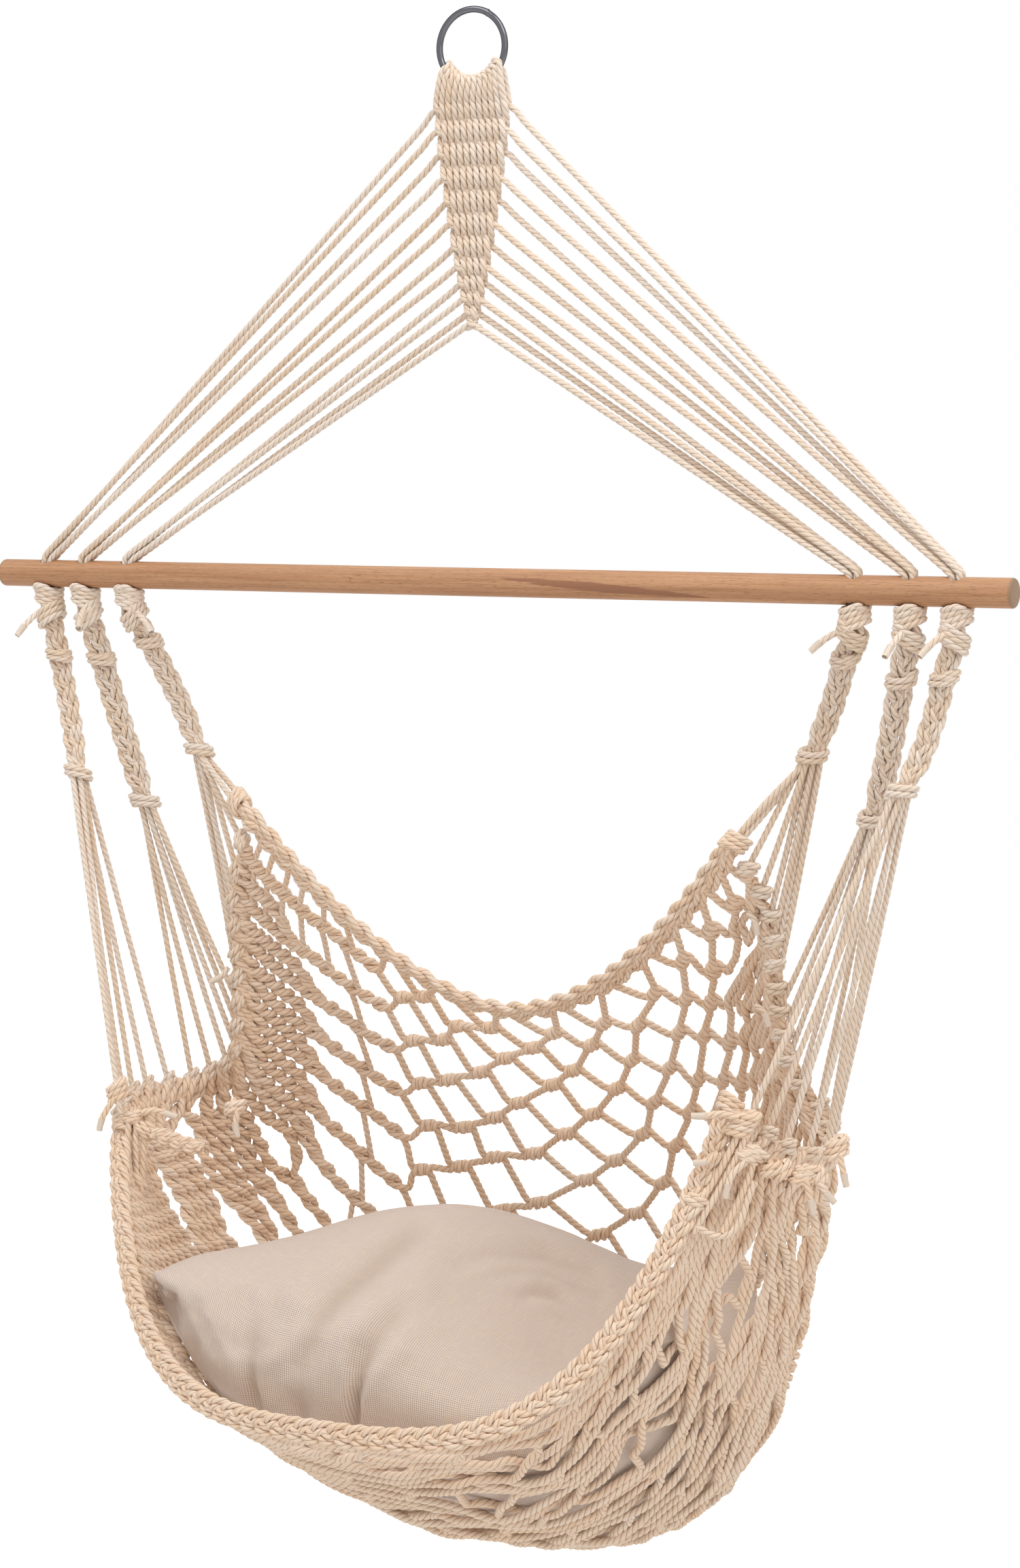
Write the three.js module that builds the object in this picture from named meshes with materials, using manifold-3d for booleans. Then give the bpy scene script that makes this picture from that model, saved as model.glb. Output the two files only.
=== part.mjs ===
// A hammock chair. A steel ring carries a woven clew, whose cords run down to a wooden spreader bar
// and through its holes. Six braided straps under the bar hold a hexagon net seat with a cushion.
// Lengths are in millimetres. +X runs along the bar, +Y to the back of the seat and +Z up.
// The origin is the place inside the ring where a hook bears.
import * as THREE from 'three';
import { mergeVertices } from 'three/addons/utils/BufferGeometryUtils.js';
import Module from 'manifold-3d';

const wasm = await Module();
wasm.setup();

// Fits
const clearance = 0.3;
const cutOverrun = 4;
const weldDistance = 0.0005;

// Cord, which every rope part is made of
const cordRadius = 3;
const cordSides = 8;
const fanCordSides = 6;

// Ring
const ringInnerRadius = 29;
const ringWireRadius = 3;
const ringSteps = 28;
const ringSides = 8;

// Loops of the clew over the ring
const loopRunningGap = 0.4;
const loopAngle = THREE.MathUtils.degToRad(110);
const loopSteps = 11;

// Woven clew, a tapering plate two cords thick
const weaveLength = 195;
const weaveHalfWidth = 38.5;
const weaveDepthShares = [0, 0.23, 0.43, 0.65, 0.83, 0.95, 1];
const weaveWidthShares = [1, 0.88, 0.72, 0.52, 0.33, 0.15, 0.08];
const exitDepthShares = [0.02, 0.12, 0.22, 0.33, 0.43, 0.53, 0.63, 0.72, 0.79, 0.86, 0.92, 0.97];
const exitLayerOffset = 2;

// Spreader bar
const barDepth = 489;
const barLength = 1000;
const barRadius = 12.5;
const barChamfer = 2.5;
const barSides = 20;
const barHoleRadius = 8;
const barHoleSides = 12;
const holeInset = 50;
const outerHoleSpacing = 41;
const innerHoleSpacing = 49;
const cordsPerHole = 4;
const cordGapInHole = 0.2;
const cordBendRise = 5;

// Straps: a knot under the bar, a braid, and a knot that the fan of cords spreads from
const topKnotHalfWidth = 14.5;
const topKnotHalfHeight = 21;
const topKnotBite = 5;
const lowerKnotHalfWidth = 13.5;
const lowerKnotHalfHeight = 17;
const braidRadius = 8.5;
const braidSteps = 5;
const tailLength = 42;
const fanCords = 6;
const endKnotRadius = 8;
const rimKnotRadius = 10.8;

// Seat net, measured from the bar's axis down to the back corners, and from there to its lowest place
const seatTopDrop = 224;
const seatDepth = 660;
const seatHalfWidth = 340;
const seatReach = 280;
const netThickness = 7;
const netLegWidth = 6.5;
const netTwistWidth = 10;
const netCords = 3 * fanCords;
const netColumns = 10;
const twistShare = 0.15;
const straightTurn = 0.25;

// The seat's side edges, from the back corner to the front corner, and its middle line
const leftAcrossShares = [0.706, 0.782, 0.794, 0.8, 0.835, 0.947, 0.994, 0.956, 0.891];
const leftBackShares = [0.018, 0.096, 0.129, 0.143, 0.179, 0.171, -0.043, -0.257, -0.368];
const leftDropShares = [0.005, 0.102, 0.189, 0.268, 0.341, 0.374, 0.377, 0.383, 0.412];
const rightAcrossShares = [0.756, 0.797, 0.806, 0.815, 0.841, 0.935, 1, 0.956, 0.9];
const rightBackShares = [0.011, 0.107, 0.129, 0.15, 0.179, 0.193, -0.018, -0.236, -0.368];
const rightDropShares = [0.005, 0.077, 0.15, 0.217, 0.291, 0.353, 0.377, 0.352, 0.302];
const middleBackShares = [0.268, 0.529, 0.736, 0.893, 0.971, 0.843, 0.3, -0.286, -1];
const middleDropShares = [0.258, 0.342, 0.455, 0.586, 0.758, 0.925, 0.975, 0.897, 0.708];

// How steeply each row climbs to its ends, and how it curves to the back: powers, not lengths
const rowDropPowers = [1.8, 2, 2.2, 2.5, 2.85, 2.9, 2.3, 2.25, 3.05];
const rowBackPowers = [1.7, 1.9, 2.1, 2.4, 2.65, 2.8, 2.75, 2.6, 2.5];
const rowSamples = 48;
const slopeShare = 0.01;

// Braided rims along the net's back and front edge
const rimRadius = 8;
const rimBite = 1.5;

// Cushion
const cushionCrown = 300;
const cushionLift = 4;
const cushionBackShare = 0.47;
const cushionFrontShare = 0.975;
const cushionAcrossShares = [0.4, 0.5, 0.56, 0.61, 0.66];
const cushionDrawShare = 0.06;
const cushionSteps = 16;
const cushionRiseWay = new THREE.Vector3(0, -0.6, 0.8);

// The straps' holes in the bar, from its ends
const outerHole = barLength / 2 - holeInset;
const middleHole = outerHole - outerHoleSpacing;
const innerHole = middleHole - innerHoleSpacing;

// The straps' routes: from the hole at the bar's axis, each point inwards, back and down, as shares
// of the drop to the seat's back corners
const strapRoutes = [
  {
    name: 'left_outer', side: -1, hole: outerHole,
    middle: [0.098, -0.009, -0.554], lower: [0.179, -0.062, -0.821],
  },
  {
    name: 'left_middle', side: -1, hole: middleHole,
    middle: [0.112, 0.089, -0.634], lower: [0.192, 0.138, -0.946],
  },
  {
    name: 'left_inner', side: -1, hole: innerHole,
    middle: [0.138, 0.121, -0.482], lower: [0.232, 0.156, -0.723],
  },
  {
    name: 'right_outer', side: 1, hole: outerHole,
    middle: [0.103, -0.009, -0.527], lower: [0.183, -0.062, -0.732],
  },
  {
    name: 'right_middle', side: 1, hole: middleHole,
    middle: [0.112, 0.089, -0.589], lower: [0.192, 0.138, -0.857],
  },
  {
    name: 'right_inner', side: 1, hole: innerHole,
    middle: [0.138, 0.121, -0.438], lower: [0.232, 0.156, -0.634],
  },
];

// Where each top knot's loose tail points: inwards, back and down, before it is scaled to length
const tailDirections = {
  left_outer: [-0.5, -0.8, -0.7],
  left_middle: [0.4, -0.9, -0.4],
  left_inner: [0.9, -0.4, -0.5],
  right_outer: [0.55, -0.8, -0.5],
  right_middle: [0.2, -0.9, -0.5],
  right_inner: [0.95, -0.3, -0.5],
};

// Sizes that follow from the ones above
const ringRadius = ringInnerRadius + ringWireRadius;
const ringCentre = new THREE.Vector3(0, 0, -ringInnerRadius);
const weaveThickness = 4 * cordRadius;
const knuckleRadius = weaveThickness / 2;
const loopBoreRadius = ringWireRadius + loopRunningGap;
const loopOuterRadius = loopBoreRadius + 2 * cordRadius;
const ringBottomDepth = 2 * ringInnerRadius + ringWireRadius;
const knuckleDepth = ringBottomDepth + loopOuterRadius + clearance + knuckleRadius;
const slotOffset = cordRadius + cordGapInHole / 2;
const seatTopDepth = barDepth + seatTopDrop;
const knotFlatShare = 0.7947;

// Materials
const cotton = new THREE.MeshStandardMaterial({ color: '#d9c3a5', roughness: 0.95, metalness: 0 });
const steel = new THREE.MeshStandardMaterial({ color: '#b9bcc0', roughness: 0.22, metalness: 1 });
const wood = new THREE.MeshStandardMaterial({ color: '#b98765', roughness: 0.6, metalness: 0 });
const linen = new THREE.MeshStandardMaterial({ color: '#d5c6b2', roughness: 0.9, metalness: 0 });

// A route through exactly the given points, with mitred tangents, for extrusion one step per point
class Route extends THREE.Curve {
  constructor(points) {
    super();
    this.points = points;
  }

  getPoint(share, target = new THREE.Vector3()) {
    const place = share * (this.points.length - 1);
    const first = Math.min(Math.floor(place), this.points.length - 2);
    return target.lerpVectors(this.points[first], this.points[first + 1], place - first);
  }

  getPointAt(share, target) {
    return this.getPoint(share, target);
  }

  getTangentAt(share, target = new THREE.Vector3()) {
    const last = this.points.length - 1;
    const place = Math.round(share * last);
    const before = this.points[Math.max(place - 1, 0)];
    const after = this.points[Math.min(place + 1, last)];
    return target.subVectors(after, before).normalize();
  }
}

function toSolid(geometry) {
  const bare = geometry.clone();
  bare.deleteAttribute('normal');
  bare.deleteAttribute('uv');
  const merged = mergeVertices(bare, weldDistance);
  const vertProperties = new Float32Array(merged.attributes.position.array);
  const triVerts = new Uint32Array(merged.index.array);
  return new wasm.Manifold(new wasm.Mesh({ numProp: 3, vertProperties, triVerts }));
}

function toGeometry(solid) {
  const mesh = solid.getMesh();
  const geometry = new THREE.BufferGeometry();
  geometry.setAttribute('position', new THREE.BufferAttribute(mesh.vertProperties, 3));
  geometry.setIndex(new THREE.BufferAttribute(mesh.triVerts, 1));
  return geometry;
}

function toMesh(name, geometry, material) {
  const mesh = new THREE.Mesh(geometry, material);
  mesh.name = name;
  return mesh;
}

function joined(solids) {
  return solids.reduce((sum, solid) => sum.add(solid));
}

function polygonShape(radius, sides) {
  const shape = new THREE.Shape();
  for (let side = 0; side < sides; side += 1) {
    const angle = (2 * Math.PI * (side + 0.5)) / sides;
    const corner = [radius * Math.cos(angle), radius * Math.sin(angle)];
    if (side === 0) shape.moveTo(...corner);
    else shape.lineTo(...corner);
  }
  shape.closePath();
  return shape;
}

function tube(points, radius, sides = cordSides) {
  const options = { steps: points.length - 1, extrudePath: new Route(points), curveSegments: 1 };
  return new THREE.ExtrudeGeometry(polygonShape(radius, sides), options);
}

function ball(centre, halfWidth, halfHeight, sides = 10, rows = 7) {
  const geometry = new THREE.SphereGeometry(1, sides, rows);
  geometry.rotateX(Math.PI / 2);
  geometry.scale(halfWidth, halfWidth, halfHeight);
  geometry.translate(centre.x, centre.y, centre.z);
  return geometry;
}

function endKnot(centre, radius, grow) {
  const geometry = new THREE.IcosahedronGeometry(radius + grow / knotFlatShare, 0);
  geometry.translate(centre.x, centre.y, centre.z);
  return geometry;
}

// The value at a share of the way along a table of evenly spaced values, on a smooth curve
function along(table, share) {
  const last = table.length - 1;
  const place = THREE.MathUtils.clamp(share, 0, 1) * last;
  const first = Math.min(Math.floor(place), last - 1);
  const step = place - first;
  const [start, end] = [table[first], table[first + 1]];
  const before = first > 0 ? table[first - 1] : 2 * start - end;
  const after = first < last - 1 ? table[first + 2] : 2 * end - start;
  const bend = 2 * before - 5 * start + 4 * end - after;
  const twist = 3 * start - before - 3 * end + after;
  return 0.5 * (2 * start + (end - before) * step + bend * step ** 2 + twist * step ** 3);
}

// The value at a place in a table of unevenly spaced places, on straight lines
function between(places, values, place) {
  let next = 1;
  while (next < places.length - 1 && places[next] < place) next += 1;
  const share = (place - places[next - 1]) / (places[next] - places[next - 1]);
  return THREE.MathUtils.lerp(values[next - 1], values[next], share);
}

function torus(radius, tubeRadius, steps, sides) {
  const profile = [];
  for (let side = 0; side <= sides; side += 1) {
    const angle = (2 * Math.PI * (side % sides)) / sides;
    profile.push(new THREE.Vector2(radius + tubeRadius * Math.cos(angle), tubeRadius * Math.sin(angle)));
  }
  const geometry = new THREE.LatheGeometry(profile, steps);
  geometry.translate(ringCentre.x, ringCentre.y, ringCentre.z);
  return geometry;
}

// A cylinder along X, centred on the middle plane
function crossCylinder(radius, halfLength, depth, sides) {
  const geometry = new THREE.CylinderGeometry(radius, radius, 2 * halfLength, sides);
  geometry.rotateZ(Math.PI / 2);
  geometry.translate(0, 0, -depth);
  return geometry;
}

// Ring

function ringMesh() {
  return toMesh('hanging_ring', torus(ringRadius, ringWireRadius, ringSteps, ringSides), steel);
}

// Clew

function loopsMesh() {
  const arc = [];
  for (let step = 0; step <= loopSteps; step += 1) {
    const angle = -Math.PI / 2 + loopAngle * (step / loopSteps - 0.5);
    const outwards = new THREE.Vector3(Math.cos(angle), 0, Math.sin(angle));
    arc.push(outwards.multiplyScalar(ringRadius).add(ringCentre));
  }
  const neckTop = ringBottomDepth - ringWireRadius;
  const neck = new THREE.BoxGeometry(2 * weaveHalfWidth, weaveThickness, knuckleDepth - neckTop);
  neck.translate(0, 0, -(knuckleDepth + neckTop) / 2);
  const overrun = weaveHalfWidth + cutOverrun;
  const bore = torus(ringRadius, loopBoreRadius, ringSteps, ringSides);
  const knuckle = crossCylinder(knuckleRadius + clearance, overrun, knuckleDepth, barSides);
  const solid = toSolid(tube(arc, loopOuterRadius))
    .add(toSolid(neck))
    .subtract(toSolid(bore))
    .subtract(toSolid(knuckle));
  return toMesh('ring_loops', toGeometry(solid), cotton);
}

function weaveWidthAt(depthShare) {
  return weaveHalfWidth * between(weaveDepthShares, weaveWidthShares, depthShare);
}

function weaveSolid(grow) {
  const outline = [];
  weaveDepthShares.forEach((share) => {
    const deeper = share === 1 ? grow : 0;
    outline.push(new THREE.Vector2(weaveWidthAt(share) + grow, -weaveLength * share - deeper));
  });
  const mirrored = outline.map((corner) => new THREE.Vector2(-corner.x, corner.y)).reverse();
  const shape = new THREE.Shape([...outline, ...mirrored]);
  const plate = new THREE.ExtrudeGeometry(shape, { depth: weaveThickness + 2 * grow, bevelEnabled: false });
  plate.translate(0, 0, -weaveThickness / 2 - grow);
  plate.rotateX(Math.PI / 2);
  plate.translate(0, 0, -knuckleDepth);
  const knuckle = crossCylinder(knuckleRadius + grow, weaveHalfWidth + grow, knuckleDepth, barSides);
  return toSolid(plate).add(toSolid(knuckle));
}

// Harness cords, from the weave's side edges down through the bar

function harnessCord(side, number, weaveFat) {
  const hole = [outerHole, middleHole, innerHole][Math.floor(number / cordsPerHole)];
  const isOuter = number % cordsPerHole < cordsPerHole / 2;
  const outwards = isOuter ? slotOffset : -slotOffset;
  const layer = number % 2 === 0 ? 1 : -1;
  const share = exitDepthShares[number];
  const bendRise = cordBendRise + (isOuter ? 2 * cordRadius + cordGapInHole : 0);
  const exit = new THREE.Vector3(
    side * (weaveWidthAt(share) - cordRadius),
    layer * exitLayerOffset,
    -knuckleDepth - weaveLength * share,
  );
  const holeX = side * (hole + outwards);
  const holeY = layer * slotOffset;
  const bend = new THREE.Vector3(holeX, holeY, -barDepth + barRadius + bendRise);
  const approach = bend.clone().lerp(exit, cordRadius / bend.distanceTo(exit));
  const leave = new THREE.Vector3(holeX, holeY, bend.z - cordRadius);
  const endReach = Math.sqrt(barRadius ** 2 - (slotOffset + cordRadius) ** 2) - clearance;
  const end = new THREE.Vector3(holeX, holeY, -barDepth - endReach);
  const solid = toSolid(tube([exit, approach, leave, end], cordRadius)).subtract(weaveFat);
  const sideName = side < 0 ? 'left' : 'right';
  return toMesh(`harness_cord_${sideName}_${number + 1}`, toGeometry(solid), cotton);
}

// Spreader bar

function barSolid() {
  const half = barLength / 2;
  const profile = [
    new THREE.Vector2(0, -half),
    new THREE.Vector2(barRadius - barChamfer, -half),
    new THREE.Vector2(barRadius, -half + barChamfer),
    new THREE.Vector2(barRadius, half - barChamfer),
    new THREE.Vector2(barRadius - barChamfer, half),
    new THREE.Vector2(0, half),
  ];
  const bar = new THREE.LatheGeometry(profile, barSides);
  bar.rotateZ(Math.PI / 2);
  bar.translate(0, 0, -barDepth);
  const holes = [innerHole, middleHole, outerHole].flatMap((place) => [-place, place]).map((x) => {
    const height = 2 * (barRadius + cutOverrun);
    const hole = new THREE.CylinderGeometry(barHoleRadius, barHoleRadius, height, barHoleSides);
    hole.rotateX(Math.PI / 2);
    hole.translate(x, 0, -barDepth);
    return toSolid(hole);
  });
  return toSolid(bar).subtract(joined(holes));
}

// The seat's surface

function edgePoint(side, down) {
  const across = side < 0 ? leftAcrossShares : rightAcrossShares;
  const back = side < 0 ? leftBackShares : rightBackShares;
  const drop = side < 0 ? leftDropShares : rightDropShares;
  return new THREE.Vector3(
    side * seatHalfWidth * along(across, down),
    seatReach * along(back, down),
    -seatTopDepth - seatDepth * along(drop, down),
  );
}

// One row of the seat, from the left edge to the right one, as points and the length up to each
function seatRow(down) {
  const middleY = seatReach * along(middleBackShares, down);
  const middleZ = -seatTopDepth - seatDepth * along(middleDropShares, down);
  const points = [];
  for (let sample = -rowSamples; sample <= rowSamples; sample += 1) {
    const share = Math.abs(sample) / rowSamples;
    const edge = edgePoint(Math.sign(sample) || 1, down);
    const x = edge.x * share;
    const y = THREE.MathUtils.lerp(middleY, edge.y, share ** along(rowBackPowers, down));
    const z = THREE.MathUtils.lerp(middleZ, edge.z, share ** along(rowDropPowers, down));
    points.push(new THREE.Vector3(x, y, z));
  }
  const lengths = [0];
  for (let sample = 1; sample < points.length; sample += 1) {
    lengths.push(lengths[sample - 1] + points[sample].distanceTo(points[sample - 1]));
  }
  return { points, lengths };
}

const rowsMade = new Map();

// A point of the seat: across runs from -1 at the left edge to 1, down from 0 at the back rim to 1
function seatPoint(across, down) {
  if (!rowsMade.has(down)) rowsMade.set(down, seatRow(down));
  const { points, lengths } = rowsMade.get(down);
  const place = ((across + 1) / 2) * lengths.at(-1);
  let next = 1;
  while (next < lengths.length - 1 && lengths[next] < place) next += 1;
  const share = (place - lengths[next - 1]) / (lengths[next] - lengths[next - 1]);
  return new THREE.Vector3().lerpVectors(points[next - 1], points[next], share);
}

// The ways along a row, square to it down the seat, and out of the seat's face into the bowl
function seatFrame(across, down) {
  const [left, right] = [Math.max(across - slopeShare, -1), Math.min(across + slopeShare, 1)];
  const [upper, lower] = [Math.max(down - slopeShare, 0), Math.min(down + slopeShare, 1)];
  const row = seatPoint(right, down).sub(seatPoint(left, down)).normalize();
  const edge = seatPoint(across, lower).sub(seatPoint(across, upper));
  const normal = edge.cross(row).normalize();
  return { row, normal, down: row.clone().cross(normal) };
}

function seatNormal(across, down) {
  return seatFrame(across, down).normal;
}

// Seat net: knots where the cords meet, and struts between them

function netGraph() {
  const knots = [];
  const struts = [];
  const known = new Map();
  const knotAt = (across, down) => {
    const key = `${across.toFixed(5)} ${down.toFixed(5)}`;
    if (!known.has(key)) {
      known.set(key, knots.length);
      knots.push({ place: seatPoint(across, down), normal: seatNormal(across, down), ways: [] });
    }
    return known.get(key);
  };
  const join = (first, second, width) => {
    knots[first].ways.push({ to: second, width });
    knots[second].ways.push({ to: first, width });
    struts.push([first, second]);
  };
  const period = 2 / netColumns;
  const level = (row) => row / netCords;
  for (let row = 0; row <= netCords; row += 1) {
    const shift = row % 2 === 0 ? 0.5 : 1;
    for (let centre = -1 + shift * period; centre < 1; centre += period) {
      if (centre + twistShare * period >= 1) break;
      const left = knotAt(centre - twistShare * period, level(row));
      const right = knotAt(centre + twistShare * period, level(row));
      join(left, right, netTwistWidth);
    }
  }
  for (let cord = 0; cord < netCords; cord += 1) {
    const even = cord % 2 === 0 ? level(cord) : level(cord + 1);
    const odd = cord % 2 === 0 ? level(cord + 1) : level(cord);
    const end = (cord + 0.5) / netCords;
    join(knotAt(-1, end), knotAt(-1 + (0.5 - twistShare) * period, even), netLegWidth);
    join(knotAt(1, end), knotAt(1 - (0.5 - twistShare) * period, even), netLegWidth);
    for (let column = 0; column < netColumns - 1; column += 1) {
      const evenCentre = -1 + (column + 0.5) * period;
      const oddCentre = -1 + (column + 1) * period;
      const evenRight = knotAt(evenCentre + twistShare * period, even);
      const oddLeft = knotAt(oddCentre - twistShare * period, odd);
      const oddRight = knotAt(oddCentre + twistShare * period, odd);
      const evenLeft = knotAt(evenCentre + (1 - twistShare) * period, even);
      join(evenRight, oddLeft, netLegWidth);
      join(oddRight, evenLeft, netLegWidth);
    }
  }
  return { knots, struts };
}

// The ways out of a knot in order round its normal, each with the corner to its left
function sortedWays(knot, knots) {
  const ways = knot.ways.map((way) => {
    const direction = knots[way.to].place.clone().sub(knot.place).projectOnPlane(knot.normal).normalize();
    return { ...way, direction };
  });
  const firstAxis = ways[0].direction.clone();
  const secondAxis = new THREE.Vector3().crossVectors(knot.normal, firstAxis);
  ways.forEach((way) => {
    way.angle = Math.atan2(way.direction.dot(secondAxis), way.direction.dot(firstAxis));
  });
  ways.sort((first, second) => first.angle - second.angle);
  ways.forEach((way, index) => {
    const next = ways[(index + 1) % ways.length];
    const turn = Math.sin(next.angle - way.angle);
    const leftwards = new THREE.Vector3().crossVectors(knot.normal, way.direction);
    if (ways.length === 1 || Math.abs(turn) < straightTurn) {
      way.corner = leftwards.multiplyScalar(way.width / 2).add(knot.place);
      return;
    }
    const alongWay = way.direction.clone().multiplyScalar(next.width / (2 * turn));
    const alongNext = next.direction.clone().multiplyScalar(way.width / (2 * turn));
    way.corner = alongWay.add(alongNext).add(knot.place);
  });
  if (ways.length === 1) {
    const rightwards = new THREE.Vector3().crossVectors(ways[0].direction, knot.normal);
    ways[0].otherCorner = rightwards.multiplyScalar(ways[0].width / 2).add(knot.place);
  }
  return ways;
}

function netGeometry() {
  const { knots, struts } = netGraph();
  const positions = [];
  const index = [];
  const addCorner = (corner, knot) => {
    const half = knot.normal.clone().multiplyScalar(netThickness / 2);
    positions.push(...corner.clone().add(half).toArray(), ...corner.clone().sub(half).toArray());
    return positions.length / 3 - 2;
  };
  const quad = (a, b, c, d) => index.push(a, b, c, a, c, d);
  knots.forEach((knot) => {
    knot.sorted = sortedWays(knot, knots);
    knot.sorted.forEach((way) => {
      way.left = addCorner(way.corner, knot);
    });
    knot.sorted.forEach((way, place) => {
      const before = knot.sorted[(place + knot.sorted.length - 1) % knot.sorted.length];
      way.right = way.otherCorner ? addCorner(way.otherCorner, knot) : before.left;
    });
    const [first] = knot.sorted;
    if (knot.sorted.length === 1) quad(first.left + 1, first.right + 1, first.right, first.left);
    for (let place = 1; place < knot.sorted.length - 1; place += 1) {
      const [second, third] = [knot.sorted[place], knot.sorted[place + 1]];
      index.push(first.left, second.left, third.left);
      index.push(first.left + 1, third.left + 1, second.left + 1);
    }
  });
  struts.forEach(([from, to]) => {
    const out = knots[from].sorted.find((way) => way.to === to);
    const back = knots[to].sorted.find((way) => way.to === from);
    quad(out.right, back.left, back.right, out.left);
    quad(out.left + 1, back.right + 1, back.left + 1, out.right + 1);
    quad(out.right + 1, back.left + 1, back.left, out.right);
    quad(back.right + 1, out.left + 1, out.left, back.right);
  });
  const geometry = new THREE.BufferGeometry();
  geometry.setAttribute('position', new THREE.Float32BufferAttribute(positions, 3));
  geometry.setIndex(index);
  return geometry;
}

// Rims, which lie along the net's first and last row

function rimRoute(down) {
  const away = down === 0 ? -1 : 1;
  const offset = rimRadius + netTwistWidth / 2 - rimBite;
  const route = [];
  for (let stop = 0; stop <= 2 * netColumns; stop += 1) {
    const across = -1 + stop / netColumns;
    const outwards = seatFrame(across, down).down.multiplyScalar(away);
    route.push(seatPoint(across, down).addScaledVector(outwards, offset));
  }
  return route;
}

function rimSolid(down, grow) {
  return toSolid(tube(rimRoute(down), rimRadius + grow));
}

// Straps

function strapPoint(strap, shares) {
  const [inwards, back, down] = shares.map((share) => share * seatTopDrop);
  return new THREE.Vector3(strap.side * (strap.hole - inwards), back, down - barDepth);
}

function topKnotCentre(strap) {
  const drop = barRadius + topKnotHalfHeight - topKnotBite;
  return new THREE.Vector3(strap.side * strap.hole, 0, -barDepth - drop);
}

function topKnotSolid(strap, grow) {
  const centre = topKnotCentre(strap);
  const [inwards, back, down] = tailDirections[strap.name];
  const tailWay = new THREE.Vector3(-strap.side * inwards, back, down).normalize();
  const tailEnd = centre.clone().addScaledVector(tailWay, tailLength);
  const tail = tube([centre, tailEnd], cordRadius + grow);
  return toSolid(ball(centre, topKnotHalfWidth + grow, topKnotHalfHeight + grow)).add(toSolid(tail));
}

function lowerKnotSolid(strap, grow) {
  return toSolid(ball(strapPoint(strap, strap.lower), lowerKnotHalfWidth + grow, lowerKnotHalfHeight + grow));
}

function braidSolid(strap) {
  const route = [topKnotCentre(strap), strapPoint(strap, strap.middle), strapPoint(strap, strap.lower)];
  const curve = new THREE.CatmullRomCurve3(route);
  return toSolid(tube(curve.getPoints(braidSteps), braidRadius));
}

// The knots that a strap's cords end in: at net cords for all three, and at a rim for the outer two
function fanEnds(strap) {
  const order = ['inner', 'middle', 'outer'].findIndex((place) => strap.name.endsWith(place));
  const ends = [];
  for (let cord = order * fanCords; cord < (order + 1) * fanCords; cord += 1) {
    ends.push({ place: seatPoint(strap.side, (cord + 0.5) / netCords), radius: endKnotRadius });
  }
  const rimEnd = (down) => rimRoute(down).at(strap.side < 0 ? 0 : -1);
  if (order === 0) ends.push({ place: rimEnd(0), radius: rimKnotRadius });
  if (order === 2) ends.push({ place: rimEnd(1), radius: rimKnotRadius });
  return ends;
}

function fanSolid(strap, grow) {
  const knot = strapPoint(strap, strap.lower);
  const cords = fanEnds(strap).flatMap((end) => [
    toSolid(tube([knot, end.place], cordRadius + grow, fanCordSides)),
    toSolid(endKnot(end.place, end.radius, grow)),
  ]);
  return joined([lowerKnotSolid(strap, grow), ...cords]);
}

// Cushion: its underside follows the bowl of the net, and its crowned top spans between the seams

function cushionUnderside(across, down) {
  const reach = across * along(cushionAcrossShares, (down + 1) / 2);
  const drawnIn = reach * (1 - cushionDrawShare * (1 - down ** 2) * across ** 2);
  const middle = (cushionBackShare + cushionFrontShare) / 2;
  const drawnDown = down * (1 - cushionDrawShare * (1 - across ** 2) * down ** 2);
  const place = middle + (drawnDown * (cushionFrontShare - cushionBackShare)) / 2;
  const lift = netThickness / 2 + clearance + cushionLift;
  return seatPoint(drawnIn, place).addScaledVector(seatNormal(drawnIn, place), lift);
}

function cushionTop(across, down) {
  const [right, lower] = [(across + 1) / 2, (down + 1) / 2];
  const sides = cushionUnderside(-1, down).lerp(cushionUnderside(1, down), right);
  const ends = cushionUnderside(across, -1).lerp(cushionUnderside(across, 1), lower);
  const back = cushionUnderside(-1, -1).lerp(cushionUnderside(1, -1), right);
  const front = cushionUnderside(-1, 1).lerp(cushionUnderside(1, 1), right);
  const top = sides.add(ends).sub(back.lerp(front, lower));
  const rise = cushionCrown * Math.sqrt((1 - across ** 2) * (1 - down ** 2));
  return top.addScaledVector(cushionRiseWay, rise);
}

function cushionGeometry() {
  const positions = [];
  const index = [];
  const count = cushionSteps + 1;
  [cushionUnderside, cushionTop].forEach((surface) => {
    for (let row = 0; row < count; row += 1) {
      for (let column = 0; column < count; column += 1) {
        const across = (2 * column) / cushionSteps - 1;
        const down = (2 * row) / cushionSteps - 1;
        positions.push(...surface(across, down).toArray());
      }
    }
  });
  for (let row = 0; row < cushionSteps; row += 1) {
    for (let column = 0; column < cushionSteps; column += 1) {
      const under = row * count + column;
      const over = under + count * count;
      index.push(under, under + 1, under + count + 1, under, under + count + 1, under + count);
      index.push(over, over + count + 1, over + 1, over, over + count, over + count + 1);
    }
  }
  const geometry = new THREE.BufferGeometry();
  geometry.setAttribute('position', new THREE.Float32BufferAttribute(positions, 3));
  geometry.setIndex(index);
  return geometry;
}

// Assembly

const ringGroup = new THREE.Group();
ringGroup.add(ringMesh());

const clewHeadGroup = new THREE.Group();
clewHeadGroup.add(loopsMesh());

const harnessGroup = new THREE.Group();
harnessGroup.add(toMesh('clew_weave', toGeometry(weaveSolid(0)), cotton));
const weaveFat = weaveSolid(clearance);
[-1, 1].forEach((side) => {
  exitDepthShares.forEach((share, number) => harnessGroup.add(harnessCord(side, number, weaveFat)));
});
harnessGroup.add(toMesh('spreader_bar', toGeometry(barSolid()), wood));

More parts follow.
